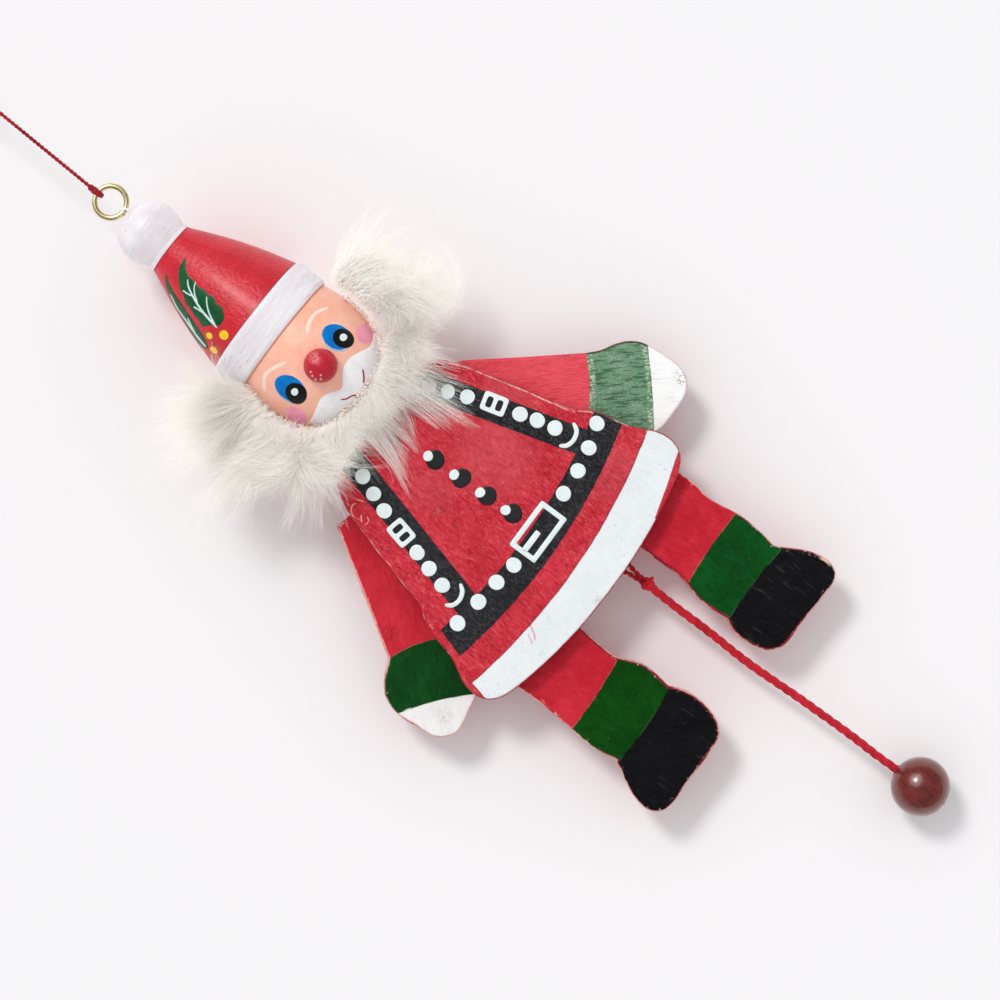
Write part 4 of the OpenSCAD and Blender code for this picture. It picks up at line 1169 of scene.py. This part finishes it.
# Painted highlight: a pale patch on the nose's top
nose_highlight = near(t, -1.7, -52.2, 1.7) * t.ramp(t.noise(0.6, 2, 0.6), 0.35, 0.55)
red = t.mix(t.noise(1.5, 2), (174, 16, 38), (204, 34, 54))
red = t.mix(nose_highlight * 0.5, red, (244, 150, 150))
dress("nose", t.colour(t.mix(pale * 0.8, red, (244, 214, 214))))
t = Tree("bead_lacquer", rough=0.26, Coat_Weight=0.6, Coat_Roughness=0.1)
grain = t.noise(0.8, 3, 0.6, stretch=(1, 1, 4))
t.bump(grain + t.noise(1.6, 2), 0.06)
dress("pull_bead", t.tinted(grain, 0.3, 0.7, ((88, 26, 22), (120, 40, 33))))
for metal, size, rough, tones, dressed in (
    ("brass_wire", 0.5, 0.34, ((226, 206, 152), (246, 232, 184)), ["screw_eye"]),
    ("nail_steel", 0.2, 0.35, ((140, 140, 140), (190, 190, 186)),
     ["left_shoulder_nail", "right_shoulder_nail", "left_hip_nail", "right_hip_nail"]),
):
    t = Tree(metal, rough=rough, Metallic=1.0)
    drawn = t.noise(size, 3, 0.6)
    t.bump(drawn, 0.02)
    look = t.tinted(drawn, 0.3, 0.7, tones)
    for node in dressed:
        dress(node, look)

# Fur: a narrow hide round the chin that carries thousands of fine hairs in clumps. Each section
# gives its place, its outward direction in x and z, its half width, and the hairs' length and density
hide = [
    (-16.1, -6.2, -43.2, -0.60, 0.80, 1.3, 23, 1.2), (-17.2, -6.4, -46.5, -0.82, 0.58, 2.2, 24, 1.2),
    (-18.4, -6.2, -50.5, -0.98, 0.22, 2.8, 23, 1.2), (-18.2, -6.0, -55.2, -1.0, -0.12, 2.8, 22, 1.0),
    (-16.4, -6.0, -60.0, -0.97, -0.28, 2.7, 20, 1.2), (-12.2, -6.3, -63.2, -0.97, -0.25, 2.4, 12, 1.2),
    (-7.4, -6.6, -64.9, -0.70, -0.70, 2.1, 5, 1.1), (-2.5, -6.8, -65.4, -0.1, -1.0, 2.1, 4.8, 1.1),
    (2.5, -6.8, -65.3, 0.1, -1.0, 2.2, 6, 1.1), (7.9, -6.3, -64.3, 0.5, -0.88, 2.4, 7.5, 1.0),
    (12.2, -5.8, -61.4, 0.92, -0.40, 2.6, 15, 1.1), (14.6, -5.6, -56.2, 1.0, -0.25, 2.7, 18, 1.2),
    (15.0, -5.4, -50.5, 1.0, -0.06, 2.4, 18, 1.2), (14.2, -5.0, -46.2, 1.0, 0.02, 1.3, 15, 1.2),
]
stations = spline([Vector(section) for section in hide], 6)
last = len(stations) - 1
t = Tree("fur_hide", rough=0.9, Sheen_Weight=0.5, Sheen_Roughness=0.6, Specular_IOR_Level=0.2)
soft = t.noise(1.2, 4, 0.7)
t.bump(soft, 0.4)
hide_stuff = t.colour(t.mix(soft, (250, 246, 238), (255, 253, 249)))
t = Tree("fur_hair", rough=0.55, Sheen_Weight=0.45, Sheen_Roughness=0.5, Specular_IOR_Level=0.2)
cream = t.ramp(t.attribute("tone") + t.noise(4, 2) * 0.5, 0.3, 1.2)
cream = t.mix(cream, (253, 247, 237), (255, 254, 250))
# Painted shade: the hairs are darker near their roots, for the fur's depth
root_shade = t.mix(0.2, cream, (238, 226, 214))
hair_stuff = t.colour(t.mix(t.ramp(t.attribute("share"), 0.0, 0.3), root_shade, cream))

SIDES = 16
COAT_TOP = -66
skin_side = Shape()
for i, s in enumerate(stations):
    a, b = stations[max(i - 1, 0)], stations[min(i + 1, last)]
    along = Vector((b[0] - a[0], 0, b[2] - a[2])).normalized()
    across = Vector((along.z, 0, -along.x))
    # The hide narrows towards its two ends
    end = 0.85 * min(1, 0.15 + min(i, last - i) / 7)
    for k in range(SIDES):
        angle = math.tau * k / SIDES
        wide, deep = across * s[5] * end, front * s[5] * 0.75 * end
        p = Vector(s[:3]) + wide * math.cos(angle) - deep * math.sin(angle)
        p += noise_vector(p * 0.5) * 0.5
        p.y = min(p.y, coat_front - 0.35) if p.z < COAT_TOP - 0.5 else p.y
        skin_side.verts.append(p)
skin_side.faces = strips(last + 1, SIDES)
skin_side.caps(last + 1, SIDES)
skin_side.piece("beard_hide", hide_stuff, "fur", instead="beard")

dice = random.Random(HAIR_SEED)
BENDS = 7
HAIR_WIDTHS = 0.017, 0.034
hair_facing = front + toward_lamp


def flow(p, seed, size):
    """A smooth wandering direction, alike for neighbours."""
    return noise_vector(p * size + Vector((seed, 1.7 * seed, -seed)))


def clear_of_coat(p, gap=0.35):
    """Hair that reaches the coat's height lies in front of it."""
    if p.z < COAT_TOP:
        p.y = min(p.y, coat_front - gap)
    return p


def on_face(p):
    """Whether a hair at this place would cross the face or the hat."""
    return -11.4 + 0.12 * max(0, p.z + 50) < p.x < 9.4 and p.z > -58.5 and p.y < -2


def guide(root, way, length, curl):
    """The line that one clump of hairs follows."""
    bend = flow(root, 9, 0.16) * curl
    points = [root.copy()]
    p, step = root.copy(), length / BENDS
    for k in range(BENDS):
        way = (way + bend * 0.24 + flow(p, 3, 0.14) * 0.4 + Vector((0, 0.03, -0.02))).normalized()
        p = clear_of_coat(p + way * step)
        p.y = max(-17.0, min(p.y, 8.0))
        points.append(p.copy())
    return points


def scatter(x, y, z):
    return Vector((dice.gauss(0, x), dice.gauss(0, y), dice.gauss(0, z)))


class Fur(Shape):
    """Hairs as thin ribbons."""

    def __init__(self):
        super().__init__()
        self.tones, self.shares = [], []

    def hair(self, points, width):
        facing = hair_facing + scatter(0.3, 0.2, 0.3)
        start, tone, n = len(self.verts), dice.random(), len(points) - 1
        for k, p in enumerate(points):
            along = points[min(k + 1, n)] - points[max(k - 1, 0)]
            side = along.cross(facing).normalized() * width * (1 - 0.75 * k / n)
            self.verts += [p - side, p + side]
            self.tones += [tone, tone]
            self.shares += [k / n, k / n]
            if k < n:
                a = start + 2 * k
                self.faces.append((a, a + 1, a + 3, a + 2))

    def clump(self, points, count, root_spread, tip_spread):
        """Hairs along one line, each its own length, drawn together or spread towards their tips."""
        n = len(points) - 1
        for _ in range(count):
            reach = dice.uniform(0.45, 1.0)
            off = scatter(1, 0.7, 1)
            off2 = scatter(1, 0.6, 1)
            line = []
            for k in range(n + 1):
                f = k * reach
                i = min(int(f), n - 1)
                share = f / n
                p = points[i].lerp(points[i + 1], f - i)
                p = p + off * (root_spread * (1 - share) ** 1.3) + (off + off2) * (tip_spread * share)
                line.append(clear_of_coat(p, 0.1))
            self.hair(line, dice.uniform(*HAIR_WIDTHS))

    def finished(self, name):
        self.piece(name, hair_stuff, "fur", tone=self.tones, share=self.shares)


HAIRS = 16
WISP_SHARE = 0.14
thin = 1.0
# Clumps that grow out of the hide between two shares of its length
for name, low, high, clumps in (
    ("left_cheek", 0.0, 0.34, 880), ("left_chin", 0.30, 0.54, 700),
    ("right_chin", 0.50, 0.74, 620), ("right_cheek", 0.70, 1.0, 820),
):
    fur, left = Fur(), int(clumps * thin)
    while left > 0:
        where = dice.uniform(low, high) * last
        i = min(int(where), last - 1)
        s = stations[i].lerp(stations[i + 1], where - i)
        if dice.random() > s[7] / 1.2:
            continue
        out = Vector((s[3], 0, s[4])).normalized()
        along = Vector((-out.z, 0, out.x))
        angle = dice.uniform(-0.7, math.pi - 0.25)
        root = Vector(s[:3]) + out * s[5] * 0.75 * math.cos(angle) + front * s[5] * 0.6 * math.sin(angle)
        way = out + front * (0.05 + 0.3 * math.sin(angle)) + along * dice.gauss(0, 0.28)
        way += flow(root, 5, 0.10) * 0.6 + flow(root, 7, 0.3) * 0.45
        length = s[6] * (0.24 + 0.84 * dice.random() ** 1.35)
        wisp = dice.random() < WISP_SHARE
        if wisp:
            length *= 1.3
        points = guide(root, way.normalized(), length, 3.0 if wisp else 1.6)
        if any(on_face(p) for p in points[2:]):
            continue
        left -= 1
        fur.clump(points, HAIRS // 2 if wisp else HAIRS, 0.8, 0.5 if wisp else 0.9)
    fur.finished("beard_fur_" + name)

# Longer locks: the number of hairs, how far apart they start and end, and then the path in x and z
chest_locks = [
    (98, 1.5, 0.35, -5.5, -65.0, -7.6, -70.5, -9.8, -77.0, -13.2, -83.2),
    (84, 1.4, 0.5, -5.0, -65.0, -6.6, -71.5, -8.4, -76.0, -11.4, -80.6),
    (70, 1.3, 0.5, -4.6, -65.0, -5.6, -71.0, -6.6, -75.0, -8.2, -79.0),
    (70, 1.2, 0.35, -4.0, -65.0, -4.2, -71.0, -4.5, -75.0, -5.4, -80.0),
    (70, 1.3, 0.4, -2.6, -65.0, -3.0, -70.0, -3.5, -74.0, -4.0, -77.6),
    (56, 1.2, 0.4, -1.0, -65.0, -1.2, -69.0, -2.0, -73.0, -3.4, -76.4),
    (50, 1.2, 0.25, 1.4, -65.0, 1.2, -69.5, -0.6, -73.5, -3.6, -77.8),
    (84, 1.2, 0.45, 2.2, -65.0, 2.4, -71.0, 2.1, -76.0, 1.7, -81.0),
    (84, 1.2, 0.4, 3.2, -65.0, 3.7, -72.0, 3.6, -78.0, 3.0, -82.6),
    (98, 1.3, 0.4, 4.2, -65.0, 4.9, -72.0, 5.2, -79.0, 5.7, -86.8),
    (84, 1.3, 0.5, 5.2, -65.0, 6.2, -72.0, 6.6, -78.0, 7.5, -84.2),
    (84, 1.4, 0.7, 6.2, -64.6, 7.4, -71.0, 8.2, -76.0, 8.8, -80.4),
    (84, 1.4, 0.5, 7.2, -64.2, 9.0, -70.5, 10.2, -75.0, 11.8, -80.6),
    (70, 1.4, 0.5, 8.2, -63.8, 10.4, -69.0, 12.4, -73.0, 14.2, -77.8),
    (50, 1.3, 0.5, 9.4, -63.0, 11.8, -67.6, 14.0, -70.4, 16.2, -74.0),
    (16, 1.2, 0.6, -11.0, -65.0, -12.6, -69.5, -13.6, -73.0, -14.8, -76.6),
    (11, 1.2, 0.6, -12.5, -65.0, -15.0, -68.6, -17.4, -70.6, -20.0, -72.4),
]
cheek_locks = [
    (72, 1.2, 0.5, -16.5, -44.0, -18.2, -39.0, -18.8, -34.0, -18.2, -28.5),
    (84, 1.3, 0.7, -17.0, -44.5, -20.0, -39.0, -22.4, -34.0, -23.0, -29.0),
    (123, 1.4, 0.9, -17.4, -46.0, -22.6, -40.0, -27.0, -35.0, -29.4, -29.0),
    (123, 1.4, 0.9, -17.6, -47.0, -24.0, -42.0, -30.0, -37.5, -34.4, -31.0),
    (100, 1.4, 0.8, -17.8, -48.5, -25.0, -46.0, -32.0, -45.0, -38.4, -41.5),
    (123, 1.4, 0.7, -18.0, -50.0, -25.0, -49.0, -32.0, -49.5, -39.5, -49.0),
    (84, 1.3, 0.7, -17.6, -56.5, -25.0, -57.0, -32.0, -58.0, -39.0, -56.5),
    (123, 1.4, 0.7, -16.0, -60.0, -22.0, -63.0, -28.0, -65.2, -34.0, -66.4),
    (84, 1.4, 0.7, -13.5, -62.5, -19.0, -66.0, -25.0, -68.8, -30.5, -72.5),
    (56, 1.0, 0.4, 13.4, -62.0, 20.0, -67.4, 27.0, -66.6, 31.0, -60.6, 30.4, -54.5, 26.0, -51.5),
    (50, 1.1, 0.5, 14.0, -60.5, 20.0, -65.8, 26.6, -64.4, 29.0, -58.0, 26.6, -52.4),
    (56, 1.2, 0.7, 15.0, -55.0, 21.0, -56.0, 27.0, -60.0, 29.6, -66.0),
    (72, 1.3, 0.6, 14.6, -49.0, 21.0, -46.4, 28.0, -46.0, 35.0, -47.2),
    (56, 1.2, 0.7, 14.4, -47.5, 19.0, -44.0, 25.0, -43.0, 31.0, -44.6),
    (84, 1.2, 0.8, 15.0, -52.0, 22.0, -50.0, 28.0, -50.5, 33.0, -53.5),
]
for name, locks, low, high in (
    ("beard_locks_chest", chest_locks, -8.2, coat_front - 0.5),
    ("beard_locks_cheeks", cheek_locks, -6.0, -1.0),
):
    fur = Fur()
    for count, wide, fine, *path in locks:
        line = spline([Vector((x, 0, z)) for x, z in zip(path[::2], path[1::2])], 8)
        line = resampled(line, length_of(line) / 12)
        for k, p in enumerate(line):
            p.y = low + (high - low) * min(1.0, 1.6 * k / (len(line) - 1))
        fur.clump(line, count, wide, fine)
    fur.finished(name)

# The hide's cut edge shows as a row of small pale grains round the face
GRAINS_EACH = 3
grains = Shape()
edge_line = resampled(spline([Vector(p) for p in (
    (-15.4, -46.0), (-15.7, -50.0), (-15.5, -53.5), (-14.4, -57.6), (-12.2, -60.6), (-9.5, -61.8),
    (-7.0, -62.3), (-2.0, -63.0), (4.0, -62.7), (7.0, -61.8), (9.4, -60.3), (11.6, -57.0), (12.4, -53.0),
    (12.6, -49.5))], 6), 0.32)
for p in [p for p in edge_line for _ in range(GRAINS_EACH)]:
    place, normal = on_head(p.x + dice.gauss(0, 0.33), p.y + dice.gauss(0, 0.33))
    centre = place + normal * dice.uniform(0.2, 0.9)
    r = dice.uniform(0.16, 0.34)
    turn_by = Matrix.Rotation(dice.uniform(0, 6.28), 3, "Y") @ Matrix.Rotation(dice.uniform(0, 6.28), 3, "X")
    start = len(grains.verts)
    for ring in (1, 2, 3):
        for k in range(6):
            a, b = math.pi * ring / 4, math.tau * k / 6
            d = Vector((math.sin(a) * math.cos(b), math.sin(a) * math.sin(b), 1.4 * math.cos(a)))
            grains.verts.append(centre + turn_by @ d * r)
    grains.verts += [centre + turn_by @ Vector((0, 0, end * r)) for end in (1.4, -1.4)]
    grains.faces += strips(3, 6, start, flip=True)
    for k in range(6):
        grains.faces.append((start + 18, start + k, start + (k + 1) % 6))
        grains.faces.append((start + 19, start + 12 + (k + 1) % 6, start + 12 + k))
t = Tree("hide_grain", rough=0.4, Specular_IOR_Level=0.4)
crumb = t.noise(0.6, 3, 0.6)
t.bump(crumb, 0.08)
grains.piece("hide_cut_edge", t.tinted(crumb, 0.35, 0.65, ((232, 206, 192), (253, 246, 238))), "fur")

# The pale ground just behind the figure. Seen from behind, it lets the camera through.
GROUND_WIDTH = 2.5
GROUND_Y = 0.0139
t = Tree("ground", rough=0.9, Specular_IOR_Level=0.1)
ground = t.colour(rgb(243, 241, 241))
backfacing = t.node("NewGeometry").outputs["Backfacing"]
in_view = t.node("LightPath").outputs["Is Camera Ray"]
clear = t.node("BsdfTransparent").outputs[0]
look = choose(t.nt, t.math("MULTIPLY", backfacing, in_view), t.shader.outputs[0], clear)
put(t.nt, t.nt.nodes["Material Output"].inputs["Surface"], look)
data = bpy.data.meshes.new("ground")
corners = ((-1, -1), (1, -1), (1, 1), (-1, 1))
data.from_pydata([(GROUND_WIDTH * x, GROUND_Y, GROUND_WIDTH * z) for x, z in corners], [], [(0, 1, 2, 3)])
data.materials.append(ground)
backdrop = bpy.data.objects.new("ground", data)
scene.collection.objects.link(backdrop)
backdrop.visible_shadow = False
